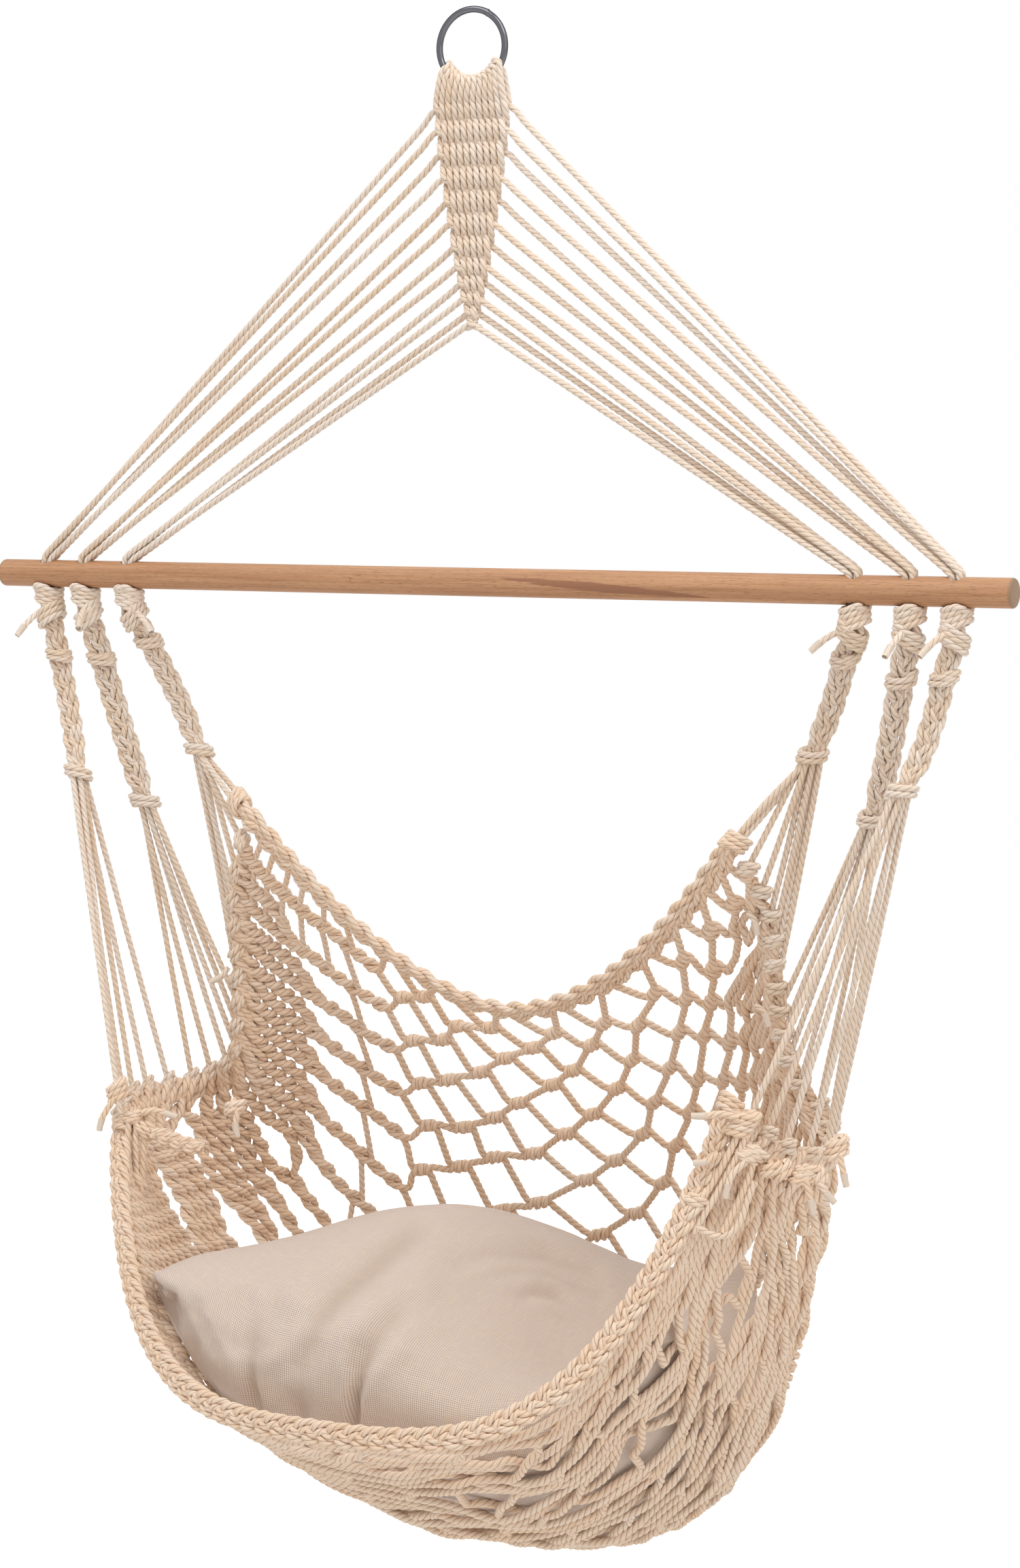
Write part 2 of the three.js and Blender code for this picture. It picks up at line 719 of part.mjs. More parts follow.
const seatGroup = new THREE.Group();
const barFat = toSolid(crossCylinder(barRadius + clearance, barLength / 2 + cutOverrun, barDepth, barSides));
strapRoutes.forEach((strap) => {
  const topKnot = topKnotSolid(strap, 0).subtract(barFat);
  const braid = braidSolid(strap)
    .subtract(topKnotSolid(strap, clearance))
    .subtract(lowerKnotSolid(strap, clearance));
  seatGroup.add(toMesh(`${strap.name}_top_knot`, toGeometry(topKnot), cotton));
  seatGroup.add(toMesh(`${strap.name}_braid`, toGeometry(braid), cotton));
  seatGroup.add(toMesh(`${strap.name}_fan`, toGeometry(fanSolid(strap, 0)), cotton));
});
const fanCut = joined(strapRoutes.map((strap) => fanSolid(strap, clearance)));
const net = toSolid(netGeometry())
  .subtract(rimSolid(0, clearance))
  .subtract(rimSolid(1, clearance))
  .subtract(fanCut);
seatGroup.add(toMesh('seat_net', toGeometry(net), cotton));
seatGroup.add(toMesh('back_rim_braid', toGeometry(rimSolid(0, 0).subtract(fanCut)), cotton));
seatGroup.add(toMesh('front_rim_braid', toGeometry(rimSolid(1, 0).subtract(fanCut)), cotton));

const cushionGroup = new THREE.Group();
cushionGroup.add(toMesh('seat_cushion', cushionGeometry(), linen));

const hammockChair = new THREE.Group();
hammockChair.add(ringGroup, clewHeadGroup, harnessGroup, seatGroup, cushionGroup);

export default hammockChair;
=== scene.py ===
# A hammock chair: steel ring, woven clew, wooden spreader bar, plaited straps, knotted net seat
# with plaited rims, and a loose linen cushion. Lengths in the dictionaries are millimetres.
import math
import random
from bisect import bisect_right
import bmesh
import bpy
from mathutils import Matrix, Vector, noise


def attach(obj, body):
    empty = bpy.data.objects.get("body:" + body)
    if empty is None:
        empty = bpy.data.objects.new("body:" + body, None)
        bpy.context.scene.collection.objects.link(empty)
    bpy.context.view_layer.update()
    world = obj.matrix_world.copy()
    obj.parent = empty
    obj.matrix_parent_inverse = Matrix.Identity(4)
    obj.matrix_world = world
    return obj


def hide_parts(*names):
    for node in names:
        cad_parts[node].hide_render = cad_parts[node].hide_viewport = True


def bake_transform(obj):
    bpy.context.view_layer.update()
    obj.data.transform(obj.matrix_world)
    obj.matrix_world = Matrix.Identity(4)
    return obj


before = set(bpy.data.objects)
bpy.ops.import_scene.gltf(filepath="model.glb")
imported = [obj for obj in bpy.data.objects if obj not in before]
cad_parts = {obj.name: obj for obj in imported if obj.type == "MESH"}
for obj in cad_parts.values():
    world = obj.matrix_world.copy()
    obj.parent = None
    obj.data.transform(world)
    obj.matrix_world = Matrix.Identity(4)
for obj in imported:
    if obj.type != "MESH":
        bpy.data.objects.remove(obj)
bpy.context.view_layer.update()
mm = 0.001
fullTurn = 2 * math.pi
dice = random.Random(11)
scene = bpy.context.scene


def placed(name, data):
    thing = bpy.data.objects.new(name, data)
    scene.collection.objects.link(thing)
    return thing


# Camera: the photographed view
camera = {"place": Vector((1501.27, -2741.0, -368.07)), "turn": 28.112, "tilt": 5.447, "lens": 82.15,
          "sensor": 36, "distance": 3125}

cameraData = bpy.data.cameras.new("camera")
cameraData.lens = camera["lens"]
cameraData.sensor_fit, cameraData.sensor_height = "VERTICAL", camera["sensor"]
cameraObject = placed("camera", cameraData)
turn, tilt = math.radians(camera["turn"]), math.radians(camera["tilt"])
lookWay = Vector((-math.sin(turn) * math.cos(tilt), math.cos(turn) * math.cos(tilt), -math.sin(tilt)))
cameraObject.location = camera["place"] * mm
cameraObject.rotation_euler = lookWay.to_track_quat("-Z", "Y").to_euler()
scene.camera = cameraObject
scene.view_settings.view_transform = "Standard"
viewRight = Vector((math.cos(turn), math.sin(turn), 0))
viewUp = viewRight.cross(lookWay)


def seen(point):
    # a point as the photograph shows it: millimetres right and up, on a plane through the chair
    off = point - camera["place"]
    return Vector((off.dot(viewRight), off.dot(viewUp))) * camera["distance"] / off.dot(lookWay)


def fromView(right, up, reference, nearer):
    # the point seen at (right, up), as far away as the reference point less nearer
    depth = (reference - camera["place"]).dot(lookWay) - nearer
    return camera["place"] + lookWay * depth + (viewRight * right + viewUp * up) * depth / camera["distance"]


print("camera set")


# Nodes: a socket takes a plain value, a colour in sRGB hex, or another node's output
def toLinear(hexColour):
    values = [int(hexColour[place:place + 2], 16) / 255 for place in (1, 3, 5)]
    return [v / 12.92 if v <= 0.04045 else ((v + 0.055) / 1.055) ** 2.4 for v in values] + [1]


def put(tree, socket, value):
    if isinstance(value, bpy.types.NodeSocket):
        tree.links.new(value, socket)
    else:
        isColour = isinstance(value, str) and value.startswith("#")
        socket.default_value = toLinear(value) if isColour else value


def node(tree, kind, inputs=None, output=0, **settings):
    # the node's output, or all its outputs where none is named
    made = tree.nodes.new(kind)
    for name, value in settings.items():
        setattr(made, name, value)
    for name, value in (inputs or {}).items():
        put(tree, made.inputs[name], value)
    return made.outputs if output is None else made.outputs[output]


def maths(tree, operation, *values, clamp=False):
    return node(tree, "ShaderNodeMath", dict(enumerate(values)), operation=operation, use_clamp=clamp)


def mapped(tree, value, known, wanted=(0, 1), smooth=False):
    return node(tree, "ShaderNodeMapRange", {
        "Value": value, "From Min": known[0], "From Max": known[1], "To Min": wanted[0], "To Max": wanted[1],
    }, interpolation_type="SMOOTHSTEP" if smooth else "LINEAR")


def mixColours(tree, first, second, share, blend="MIX"):
    return node(tree, "ShaderNodeMix", {6: first, 7: second, 0: share}, 2, data_type="RGBA", blend_type=blend)


def unevenness(tree, places, size, detail=2, roughness=0.5):
    return node(tree, "ShaderNodeTexNoise", {
        "Vector": places, "Scale": 1 / (size * mm), "Detail": detail, "Roughness": roughness}, "Fac")


def attribute(tree, name, output="Fac"):
    return node(tree, "ShaderNodeAttribute", output=output, attribute_name=name)


def newMaterial(name, values):
    material = bpy.data.materials.new(name)
    material.use_nodes = True
    tree = material.node_tree
    tree.nodes.clear()
    shader = tree.nodes.new("ShaderNodeBsdfPrincipled")
    for socket, value in values.items():
        put(tree, shader.inputs[socket], value)
    node(tree, "ShaderNodeOutputMaterial", {"Surface": shader.outputs["BSDF"]}, None)
    return material, tree, shader


def finished(made, colour, relief, strength, depth):
    # the surface's colour and its fine relief
    material, tree, shader = made
    bump = node(tree, "ShaderNodeBump", {"Strength": strength, "Distance": depth * mm, "Height": relief})
    put(tree, shader.inputs["Base Color"], colour)
    put(tree, shader.inputs["Normal"], bump)
    return material


# Laid cotton cord, three soft strands: matt, pale on the crests, warm between strands, and darkened between
# strands by painted shade
cordLook = {
    "pale": "#f3e6d9", "tan": "#e9cfb3", "netPale": "#f5e1cd", "netTan": "#eeceae",
    "valleyShadeColour": "#a67f5c", "valleyShare": 0.7, "valleyEdge": 0.38, "warmth": 0.55,
    "fibreWidth": 0.45, "fibreStretch": 9, "fibreRadius": 3, "mottleSize": 45, "reliefDepth": 0.25,
}


def cottonMaterial(name, pale, tan):
    made = newMaterial(name, {
        "Roughness": 0.93, "Sheen Weight": 0.25, "Sheen Roughness": 0.5, "Specular IOR Level": 0.2})
    tree = made[1]
    stretched = maths(tree, "DIVIDE", attribute(tree, "layLength"), cordLook["fibreStretch"])
    # the section is a unit circle, and the fibre radius brings it to the cord's own size
    sized = node(tree, "ShaderNodeVectorMath", {
        0: attribute(tree, "layAround", "Vector"), "Scale": cordLook["fibreRadius"] * mm}, operation="SCALE")
    places = node(tree, "ShaderNodeVectorMath", {
        0: sized, 1: node(tree, "ShaderNodeCombineXYZ", {"Z": stretched})}, operation="ADD")
    fibres = unevenness(tree, places, cordLook["fibreWidth"], 3, 0.6)
    mottle = unevenness(tree, node(tree, "ShaderNodeTexCoord", output="Object"), cordLook["mottleSize"])
    warm = maths(tree, "MULTIPLY_ADD", attribute(tree, "cordTint"), cordLook["warmth"],
                 maths(tree, "MULTIPLY_ADD", mottle, 0.6, -0.1), clamp=True)
    # painted shade: towards the valleys between strands the colour darkens to the valley shade colour
    valleyPaintedShade = mapped(tree, attribute(tree, "layCrown"), (cordLook["valleyEdge"], 0),
                  (0, cordLook["valleyShare"]), True)
    shaded = mixColours(tree, mixColours(tree, pale, tan, warm), cordLook["valleyShadeColour"], valleyPaintedShade)
    streak = mapped(tree, fibres, (0.3, 0.7), (0.86, 1.06))
    grey = node(tree, "ShaderNodeCombineColor", {"Red": streak, "Green": streak, "Blue": streak})
    final = mixColours(tree, shaded, grey, 1, "MULTIPLY")
    return finished(made, final, fibres, 0.6, cordLook["reliefDepth"])


cordMaterial = cottonMaterial("laidCottonCord", cordLook["pale"], cordLook["tan"])
netMaterial = cottonMaterial("laidCottonNet", cordLook["netPale"], cordLook["netTan"])

# Laid cord along every route: a three-lobed section that turns with the lay
cordShape = {"radius": 3.0, "ringSpacing": 2.4, "layLength": -21.0, "valleyDepth": 0.24, "sides": 12,
             "strands": 3, "sharpness": 1.7, "closeSpacing": 2.0}


def stored(tree, geometry, name, value, kind="FLOAT"):
    return node(tree, "GeometryNodeStoreNamedAttribute", {"Name": name, "Geometry": geometry, "Value": value},
                domain="POINT", data_type=kind)


def laidCordTree():
    tree = bpy.data.node_groups.new("laidCord", "GeometryNodeTree")
    for name, kind in (("Routes", "Geometry"), ("Ring spacing", "Float"), ("Lay length", "Float"),
                       ("Valley depth", "Float"), ("Sides", "Int"), ("Cord", "Material")):
        tree.interface.new_socket(name, in_out="INPUT", socket_type="NodeSocket" + kind)
    tree.interface.new_socket("Cords", in_out="OUTPUT", socket_type="NodeSocketGeometry")
    given = node(tree, "NodeGroupInput", output=None)
    curves = node(tree, "GeometryNodeMeshToCurve", {"Mesh": given["Routes"]})
    even = node(tree, "GeometryNodeResampleCurve", {"Curve": curves, "Length": given["Ring spacing"]},
                mode="LENGTH")
    spline = node(tree, "GeometryNodeSplineParameter", output=None)
    turns = maths(tree, "ADD", maths(tree, "DIVIDE", spline["Length"], given["Lay length"]),
                  node(tree, "GeometryNodeInputNamedAttribute", {"Name": "cordTint"}))
    tilted = node(tree, "GeometryNodeSetCurveTilt", {
        "Curve": even, "Tilt": maths(tree, "MULTIPLY", turns, fullTurn)})
    measured = stored(tree, tilted, "layLength", spline["Length"])
    circle = node(tree, "GeometryNodeCurvePrimitiveCircle", {"Radius": 1, "Resolution": given["Sides"]})
    angle = maths(tree, "MULTIPLY", maths(tree, "MULTIPLY", spline["Factor"], fullTurn), cordShape["strands"])
    sunkShare = maths(tree, "MULTIPLY_ADD", maths(tree, "COSINE", angle), -0.5, 0.5)
    sharp = maths(tree, "POWER", sunkShare, cordShape["sharpness"])
    reach = maths(tree, "SUBTRACT", 1, maths(tree, "MULTIPLY", sharp, given["Valley depth"]))
    place = node(tree, "GeometryNodeInputPosition")
    crowned = stored(tree, circle, "layCrown", maths(tree, "SUBTRACT", 1, sharp))
    rounded = stored(tree, crowned, "layAround", place, "FLOAT_VECTOR")
    lobed = node(tree, "ShaderNodeVectorMath", {0: place, "Scale": reach}, operation="SCALE")
    section = node(tree, "GeometryNodeSetPosition", {"Geometry": rounded, "Position": lobed})
    surface = node(tree, "GeometryNodeCurveToMesh", {
        "Fill Caps": True, "Curve": measured, "Profile Curve": section,
        "Scale": node(tree, "GeometryNodeInputNamedAttribute", {"Name": "cordRadius"})})
    smooth = node(tree, "GeometryNodeSetShadeSmooth", {"Geometry": surface})
    real = node(tree, "GeometryNodeRealizeInstances", {"Geometry": smooth})
    coated = node(tree, "GeometryNodeSetMaterial", {"Geometry": real, "Material": given["Cord"]})
    node(tree, "NodeGroupOutput", {"Cords": coated}, None)
    return tree


cordTree = laidCordTree()
cordSockets = {item.name: item.identifier for item in cordTree.interface.items_tree
               if item.in_out == "INPUT"}


def cord(points, radius=cordShape["radius"]):
    return {"points": points, "radius": radius, "tint": dice.random()}


def applied(source):
    # the plain mesh of an object with its modifiers, as a piece at the origin
    graph = bpy.context.evaluated_depsgraph_get()
    mesh = bpy.data.meshes.new_from_object(
        source.evaluated_get(graph), preserve_all_data_layers=True, depsgraph=graph)
    name = source.name
    bpy.data.objects.remove(source)
    mesh.name = name
    return placed(name, mesh)


def built(name, build):
    mesh = bpy.data.meshes.new(name)
    build.to_mesh(mesh)
    build.free()
    return placed(name, mesh)


def painted(piece, material):
    piece.data.materials.clear()
    piece.data.materials.append(material)
    return piece


def layCords(name, cords, material=cordMaterial, ringSpacing=cordShape["ringSpacing"],
             valleyDepth=cordShape["valleyDepth"]):
    places, edges, radii, tints = [], [], [], []
    for one in cords:
        start, count = len(places), len(one["points"])
        places += [point * mm for point in one["points"]]
        edges += [(start + step, start + step + 1) for step in range(count - 1)]
        radius = one["radius"]
        radii += [r * mm for r in radius] if isinstance(radius, list) else [radius * mm] * count
        tints += [one["tint"]] * count
    mesh = bpy.data.meshes.new(name)
    mesh.from_pydata(places, edges, [])
    for kept, values in (("cordRadius", radii), ("cordTint", tints)):
        mesh.attributes.new(kept, "FLOAT", "POINT").data.foreach_set("value", values)
    source = placed(name, mesh)
    modifier = source.modifiers.new("laidCord", "NODES")
    modifier.node_group = cordTree
    for socket, value in (
        ("Ring spacing", ringSpacing * mm), ("Lay length", cordShape["layLength"] * mm),
        ("Valley depth", valleyDepth), ("Sides", cordShape["sides"]), ("Cord", material),
    ):
        modifier[cordSockets[socket]] = value
    return applied(source)


def settle(piece, body, slot, *nodes):
    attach(piece, body)
    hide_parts(*nodes)


# Routes
def smoothAt(points, place, t):
    # on the smooth line through the points, at the share t from one of them to the next
    start, end = points[place], points[place + 1]
    before = points[place - 1] if place else 2 * start - end
    after = points[place + 2] if place + 2 < len(points) else 2 * end - start
    return 0.5 * (2 * start + (end - before) * t + (2 * before - 5 * start + 4 * end - after) * t ** 2
                  + (3 * start - before - 3 * end + after) * t ** 3)


def curveThrough(points, step=3.0):
    smooth = []
    for place in range(len(points) - 1):
        count = max(1, round((points[place + 1] - points[place]).length / step))
        smooth += [smoothAt(points, place, part / count) for part in range(count)]
    return smooth + [points[-1].copy()]


def smoothStep(share):
    share = min(max(share, 0), 1)
    return share * share * (3 - 2 * share)


def ramp(value, start, span):
    # 0 up to the start and 1 past the span, smooth between them
    return smoothStep((value - start) / span)


def squareTo(way, axis):
    return (way - axis * way.dot(axis)).normalized()


class Path:
    def __init__(self, points):
        self.points = points
        self.lengths = [0.0]
        for start, end in zip(points, points[1:]):
            self.lengths.append(self.lengths[-1] + (end - start).length)
        self.length = self.lengths[-1]

    def at(self, distance):
        distance = min(max(distance, 0), self.length)
        place = min(bisect_right(self.lengths, distance), len(self.points) - 1)
        span = self.lengths[place] - self.lengths[place - 1]
        share = (distance - self.lengths[place - 1]) / max(span, 1e-9)
        return self.points[place - 1].lerp(self.points[place], share)

    def way(self, distance):
        return (self.at(distance + 2) - self.at(distance - 2)).normalized()


# Plaits: three strands of two cords each, over and under, drawn together at both ends
plaitSizes = ("period", "swing", "depth", "pair", "radius")
plaits = {name: dict(zip(plaitSizes, sizes)) for name, sizes in {
    "strap": (56, 4.9, 2.9, 2.75, 3.0), "back": (72, 6.0, 3.0, 2.9, 3.25),
    "front": (46, 5.4, 2.8, 2.8, 3.05), "tie": (36, 4.0, 2.6, 1.6, 2.7),
}.items()}
plaitStep, plaitDrawn = 2.5, 0.55


def plait(path, widthWay, shape, start=0.0, end=None):
    end = path.length if end is None else end
    count = max(4, round((end - start) / plaitStep))
    cords = []
    for strand in range(3):
        for side in (-1, 1):
            points = []
            for sample in range(count + 1):
                distance = start + (end - start) * sample / count
                phase = fullTurn * (distance / shape["period"] + strand / 3)
                nearEnd = min(distance - start, end - distance) / shape["period"]
                draw = plaitDrawn + (1 - plaitDrawn) * smoothStep(nearEnd * 3)
                slope = shape["swing"] * math.cos(phase) * fullTurn / shape["period"]
                lean = math.hypot(1, slope)
                across = draw * (shape["swing"] * math.sin(phase) + side * shape["pair"] / lean)
                place = distance - side * shape["pair"] * slope / lean
                axis = path.way(place)
                wide = squareTo(widthWay(place), axis)
                points.append(path.at(place) + wide * across
                              + axis.cross(wide) * shape["depth"] * math.sin(2 * phase))
            cords.append(cord(points, shape["radius"]))
    return cords


# Knots: cords wound round a bundle and tucked in. At the tucked ends the winding draws in to a
# share of its reach and of the gap between its cords.
knotSizes = ("cords", "turns", "reach", "flat", "gap", "lean", "rise", "radius")
knots = {name: dict(zip(knotSizes, sizes)) for name, sizes in {
    "atBar": (4, 1.6, 11.2, 0.9, 5.2, 4.5, 7, 3.0), "underBar": (3, 1.5, 12.0, 0.9, 5.4, -5.0, 5, 3.0),
    "second": (2, 1.35, 10.2, 0.85, 5.2, 3.6, 4, 2.8), "lower": (2, 1.45, 10.5, 0.9, 5.4, 4.2, 5, 2.9),
    "fanEnd": (2, 1.4, 6.8, 0.95, 5.8, 3.2, 4, 3.1), "rimEnd": (3, 1.5, 9.6, 0.9, 5.0, 3, 4, 2.9),
    "tie": (3, 1.45, 8.0, 0.9, 5.2, 3.4, 4, 3.0), "tieBand": (1, 1.2, 6.4, 1.0, 5.2, 2.4, 4, 3.0),
}.items()}
knotSteps, tuckSpan, tuckedReach, tuckedGap = 20, 0.13, 0.3, 0.4


def wraps(centre, axis, face, kind, start, side=1, **changed):
    shape = dict(knots[kind], **changed)
    axis = axis.normalized()
    aside = axis.cross(face).normalized()
    front = aside.cross(axis)
    cords = []
    steps = max(10, round(shape["turns"] * knotSteps))
    for number in range(shape["cords"]):
        points = []
        for step in range(steps + 1):
            share = step / steps
            angle = fullTurn * (start + shape["turns"] * share)
            held = smoothStep((0.5 - abs(share - 0.5)) / tuckSpan)
            reach = shape["reach"] * (tuckedReach + (1 - tuckedReach) * held)
            lift = (number - (shape["cords"] - 1) / 2) * shape["gap"] * (tuckedGap + (1 - tuckedGap) * held)
            lift += shape["lean"] * side * math.cos(angle) + shape["rise"] * (share - 0.5)
            points.append(centre + aside * reach * math.cos(angle)
                          + front * reach * shape["flat"] * math.sin(angle) + axis * lift)
        cords.append(cord(points, shape["radius"]))
    return cords


def skin(build, loops):
    # faces from each loop of corners to the next
    for first, second in zip(loops, loops[1:]):
        for side in range(len(first)):
            after = (side + 1) % len(first)
            build.faces.new((first[side], first[after], second[after], second[side]))


# Ring: one round bar of polished steel, bent and welded shut. The bar's two ends don't quite meet
# in line at the weld.
ring = {"radius": 32, "wire": 2.85, "centre": -29, "steps": 144, "sides": 24, "weldAngle": 62,
        "weldSpan": 2.2, "weldRise": 0.35, "shift": 0.25, "shiftSpan": 14, "shiftOut": 0.4,
        "colour": "#6a6a6f", "edge": "#202024", "wearSize": 4, "wearDepth": 0.05}


def steelMaterial():
    # painted reflection: the dark grey base colour and the near-black edge tint stand in for dark
    # surroundings reflected in the polished steel
    made = newMaterial("polishedSteel", {"Metallic": 1, "Specular Tint": ring["edge"]})
    tree = made[1]
    wear = unevenness(tree, node(tree, "ShaderNodeTexCoord", output="Object"), ring["wearSize"], 3)
    put(tree, made[2].inputs["Roughness"], mapped(tree, wear, (0, 1), (0.12, 0.24)))
    return finished(made, ring["colour"], wear, 0.05, ring["wearDepth"])


def ringPiece():
    build = bmesh.new()
    loops = []
    for step in range(ring["steps"]):
        angle = fullTurn * step / ring["steps"]
        offWeld = math.degrees(angle) - ring["weldAngle"]
        wire = ring["wire"] + ring["weldRise"] * math.exp(-(offWeld / ring["weldSpan"]) ** 2)
        shift = ring["shift"] * math.exp(-abs(offWeld) / ring["shiftSpan"]) * (1 if offWeld > 0 else -1)
        outward = Vector((math.cos(angle), 0, math.sin(angle)))
        loop = []
        for side in range(ring["sides"]):
            about = fullTurn * side / ring["sides"]
            reach = ring["radius"] + wire * math.cos(about) + shift * ring["shiftOut"]
            depth = wire * math.sin(about) + shift
            loop.append(build.verts.new((outward * reach + Vector((0, depth, ring["centre"]))) * mm))
        loops.append(loop)
    skin(build, loops + loops[:1])
    bmesh.ops.recalc_face_normals(build, faces=build.faces)
    piece = built("hangingRing", build)
    piece.data.shade_smooth()
    return painted(piece, steelMaterial())


settle(ringPiece(), "ring", "steel", "hanging_ring")
print("ring made")

# Clew: each cord loops over the ring, and its two ends run down through the weave, before and
# behind the cords that cross it. The outermost one on each side turns across at each row.
clew = {
    "loops": 12, "loopSpan": 116, "wireGap": 3.4, "top": -76.7, "length": 195, "halfWidth": 38.5,
    "layer": 4.5, "crossLayer": 2.0, "lean": 0.8, "slant": 0.5, "spacing": 3.3, "radius": 3.2,
    "loopStep": 32, "neck": 1.2, "rowStep": 0.0095, "turnIn": 9, "turnDrop": 3.2, "nestled": 0.3,
    "depthShares": [0, 0.23, 0.43, 0.65, 0.83, 0.95, 1],
    "widthShares": [1, 0.88, 0.72, 0.52, 0.33, 0.15, 0.08],
    "exitShares": [0.02, 0.12, 0.22, 0.33, 0.43, 0.53, 0.63, 0.72, 0.79, 0.86, 0.92, 0.97],
    "jointStart": -62, "jointEnd": -92,
}
bar = {"depth": 489, "length": 1000, "radius": 12.5, "chamfer": 2.5, "holeRadius": 8, "sides": 72,
       "holes": {"outer": 450, "middle": 409, "inner": 360}, "holeRoom": 13, "holeSides": 40,
       "drillLength": 40, "chamferSteps": 5, "wornEdge": 0.6, "wornSteps": 2}


def between(places, values, place):
    index = min(max(bisect_right(places, place), 1), len(places) - 1)
    share = (place - places[index - 1]) / (places[index] - places[index - 1])
    return values[index - 1] + (values[index] - values[index - 1]) * share


def clewHalfWidth(share):
    return clew["halfWidth"] * between(clew["depthShares"], clew["widthShares"], share)


def clewPlace(number, share):
    # number counts the 24 cords from the left; the row decides which lie in front
    row = between(clew["exitShares"], list(range(clew["loops"])), share)
    spread = (clewHalfWidth(share) - cordShape["radius"]) / max(clew["loops"] - 0.5 - row, 0.5)
    x = (number - clew["loops"] + 0.5) * min(spread, clew["spacing"])
    swing = math.cos(math.pi * (row + number % 2))
    y = -clew["layer"] * math.copysign(abs(swing) ** 0.9, swing)
    lean = clew["lean"] * math.sin(math.pi * row) * (1 - 2 * (number % 2))
    return Vector((x + lean - y * clew["slant"], y, clew["top"] - clew["length"] * share))


def clewEnd(number):
    # one cord end, from under the ring down to the row where it turns across
    stop = clew["exitShares"][min(number, 2 * clew["loops"] - 1 - number)]
    line = []
    share = 0.0
    while share < stop:
        line.append(clewPlace(number, share))
        share += clew["rowStep"]
    inward = clew["turnIn"] if number < clew["loops"] else -clew["turnIn"]
    turned = clewPlace(number, stop)
    return line + [Vector((turned.x + inward * part, turned.y * (1 - part),
                           turned.z - clew["turnDrop"] * math.sin(part * math.pi / 2)))
                   for part in (0.3, 0.65, 1.0)]


def clewCords():
    cords = []
    reach = clew["wireGap"] + cordShape["radius"] - clew["nestled"]
    for loop in range(clew["loops"]):
        angle = math.radians(clew["loopSpan"] * (loop / (clew["loops"] - 1) - 0.5) - 90)
        outward = Vector((math.cos(angle), 0, math.sin(angle)))
        wire = outward * ring["radius"] + Vector((0, 0, ring["centre"]))
        over = []
        for step in range(-3, 4):
            about = math.radians(clew["loopStep"] * step)
            # each loop lies a little aslant on the wire, as its two ends do in the weave
            aslant = Vector((-outward.z, 0, outward.x)) * reach * math.sin(about) * clew["slant"]
            over.append(wire - outward * reach * math.cos(about) - aslant
                        + Vector((0, reach * math.sin(about), 0)))
        front, back = clewEnd(2 * loop), clewEnd(2 * loop + 1)
        neck = Vector((0, clew["neck"], 0))
        whole = front[::-1] + [over[0].lerp(front[0], 0.5) - neck] + over
        whole += [over[-1].lerp(back[0], 0.5) + neck] + back
        cords.append(cord(curveThrough(whole, 2.4), clew["radius"]))
    return cords


clewPiece = layCords("clewCords", clewCords(), ringSpacing=cordShape["closeSpacing"])
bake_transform(clewPiece)
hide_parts("ring_loops", "clew_weave")
print("clew made")

# Harness cords: across the weave, out at its edge and straight down to a hole in the bar
harnessCord = {"radius": 2.95, "squeezed": 1.75, "squeezeFrom": -7, "squeezeSpan": 9, "inside": 6,
               "insideTilt": 2.6, "holeOffset": 3.1, "bendRise": 0.5, "outerRise": 3.0, "bendDrop": 6,
               "intoHole": 10.6}


def harnessRoute(side, number):
    hole = list(bar["holes"].values())[number // 4]
    isOuter = number % 4 < 2
    layer = 1 if number % 2 == 0 else -1
    share = clew["exitShares"][number]
    depth = clew["top"] - clew["length"] * share
    edge = clewHalfWidth(share) - cordShape["radius"]
    leave = Vector((side * edge, layer * clew["crossLayer"], depth))
    offset = harnessCord["holeOffset"]
    bend = Vector((side * (hole + (offset if isOuter else -offset)), layer * offset,
                   bar["radius"] + harnessCord["bendRise"] - bar["depth"]
                   + (harnessCord["outerRise"] if isOuter else 0)))
    run = bend - leave
    tilted = Vector((0, 0, side * harnessCord["insideTilt"]))
    inside = Vector((-side * (edge - harnessCord["inside"]), 0, depth)) + tilted
    points = [inside, inside.lerp(leave, 0.5) + Vector((0, 0, side * 0.6)), leave]
    points += [leave + run * part for part in (0.04, 0.1, 0.5, 0.9)]
    drop = harnessCord["bendDrop"]
    points += [bend - run.normalized() * drop, bend + Vector((-side * 0.4, 0, -drop / 3)),
               bend + Vector((0, 0, -drop)),
               Vector((bend.x, bend.y, -bar["depth"] - harnessCord["intoHole"]))]
    line = curveThrough(points, 4)
    squeezed = harnessCord["squeezed"]
    return cord(line, [squeezed + (harnessCord["radius"] - squeezed) * ramp(
        side * (point.x - leave.x), harnessCord["squeezeFrom"], harnessCord["squeezeSpan"])
        for point in line])


for side, sideName in ((-1, "left"), (1, "right")):
    for number in range(clew["loops"]):
        label = f"{sideName}_{number + 1}"
        piece = layCords(f"harnessCord_{label}", [harnessRoute(side, number)])
        settle(piece, "harness", "cotton", f"harness_cord_{label}")
print("harness cords made")

# Bar: turned and sanded beech, oiled. Long straight grain with short dark pores, a brown streak
# near the right end, rounded edges, and greyer end grain
wood = {
    "body": "#c6966f", "dark": "#a67550", "pore": "#7d553b", "streak": "#8f5e44", "end": "#94795f",
    "streakFrom": 31, "streakTo": 237, "streakTop": 4.4, "streakDrop": 13.8, "streakSwell": 15,
    "waver": 6, "endFrom": 496.5, "endTo": 498.5, "reliefDepth": 0.15,
    # each layer's colour, width, stretch along the grain, detail, the noise it starts and ends at, most
    "layers": {"bands": ("dark", 9, 30, 2, (0.35, 0.7), 0.55),
               "grain": ("dark", 1.3, 70, 4, (0.46, 0.66), 0.75),
               "pores": ("pore", 0.5, 16, 2, (0.58, 0.68), 0.7)},
}


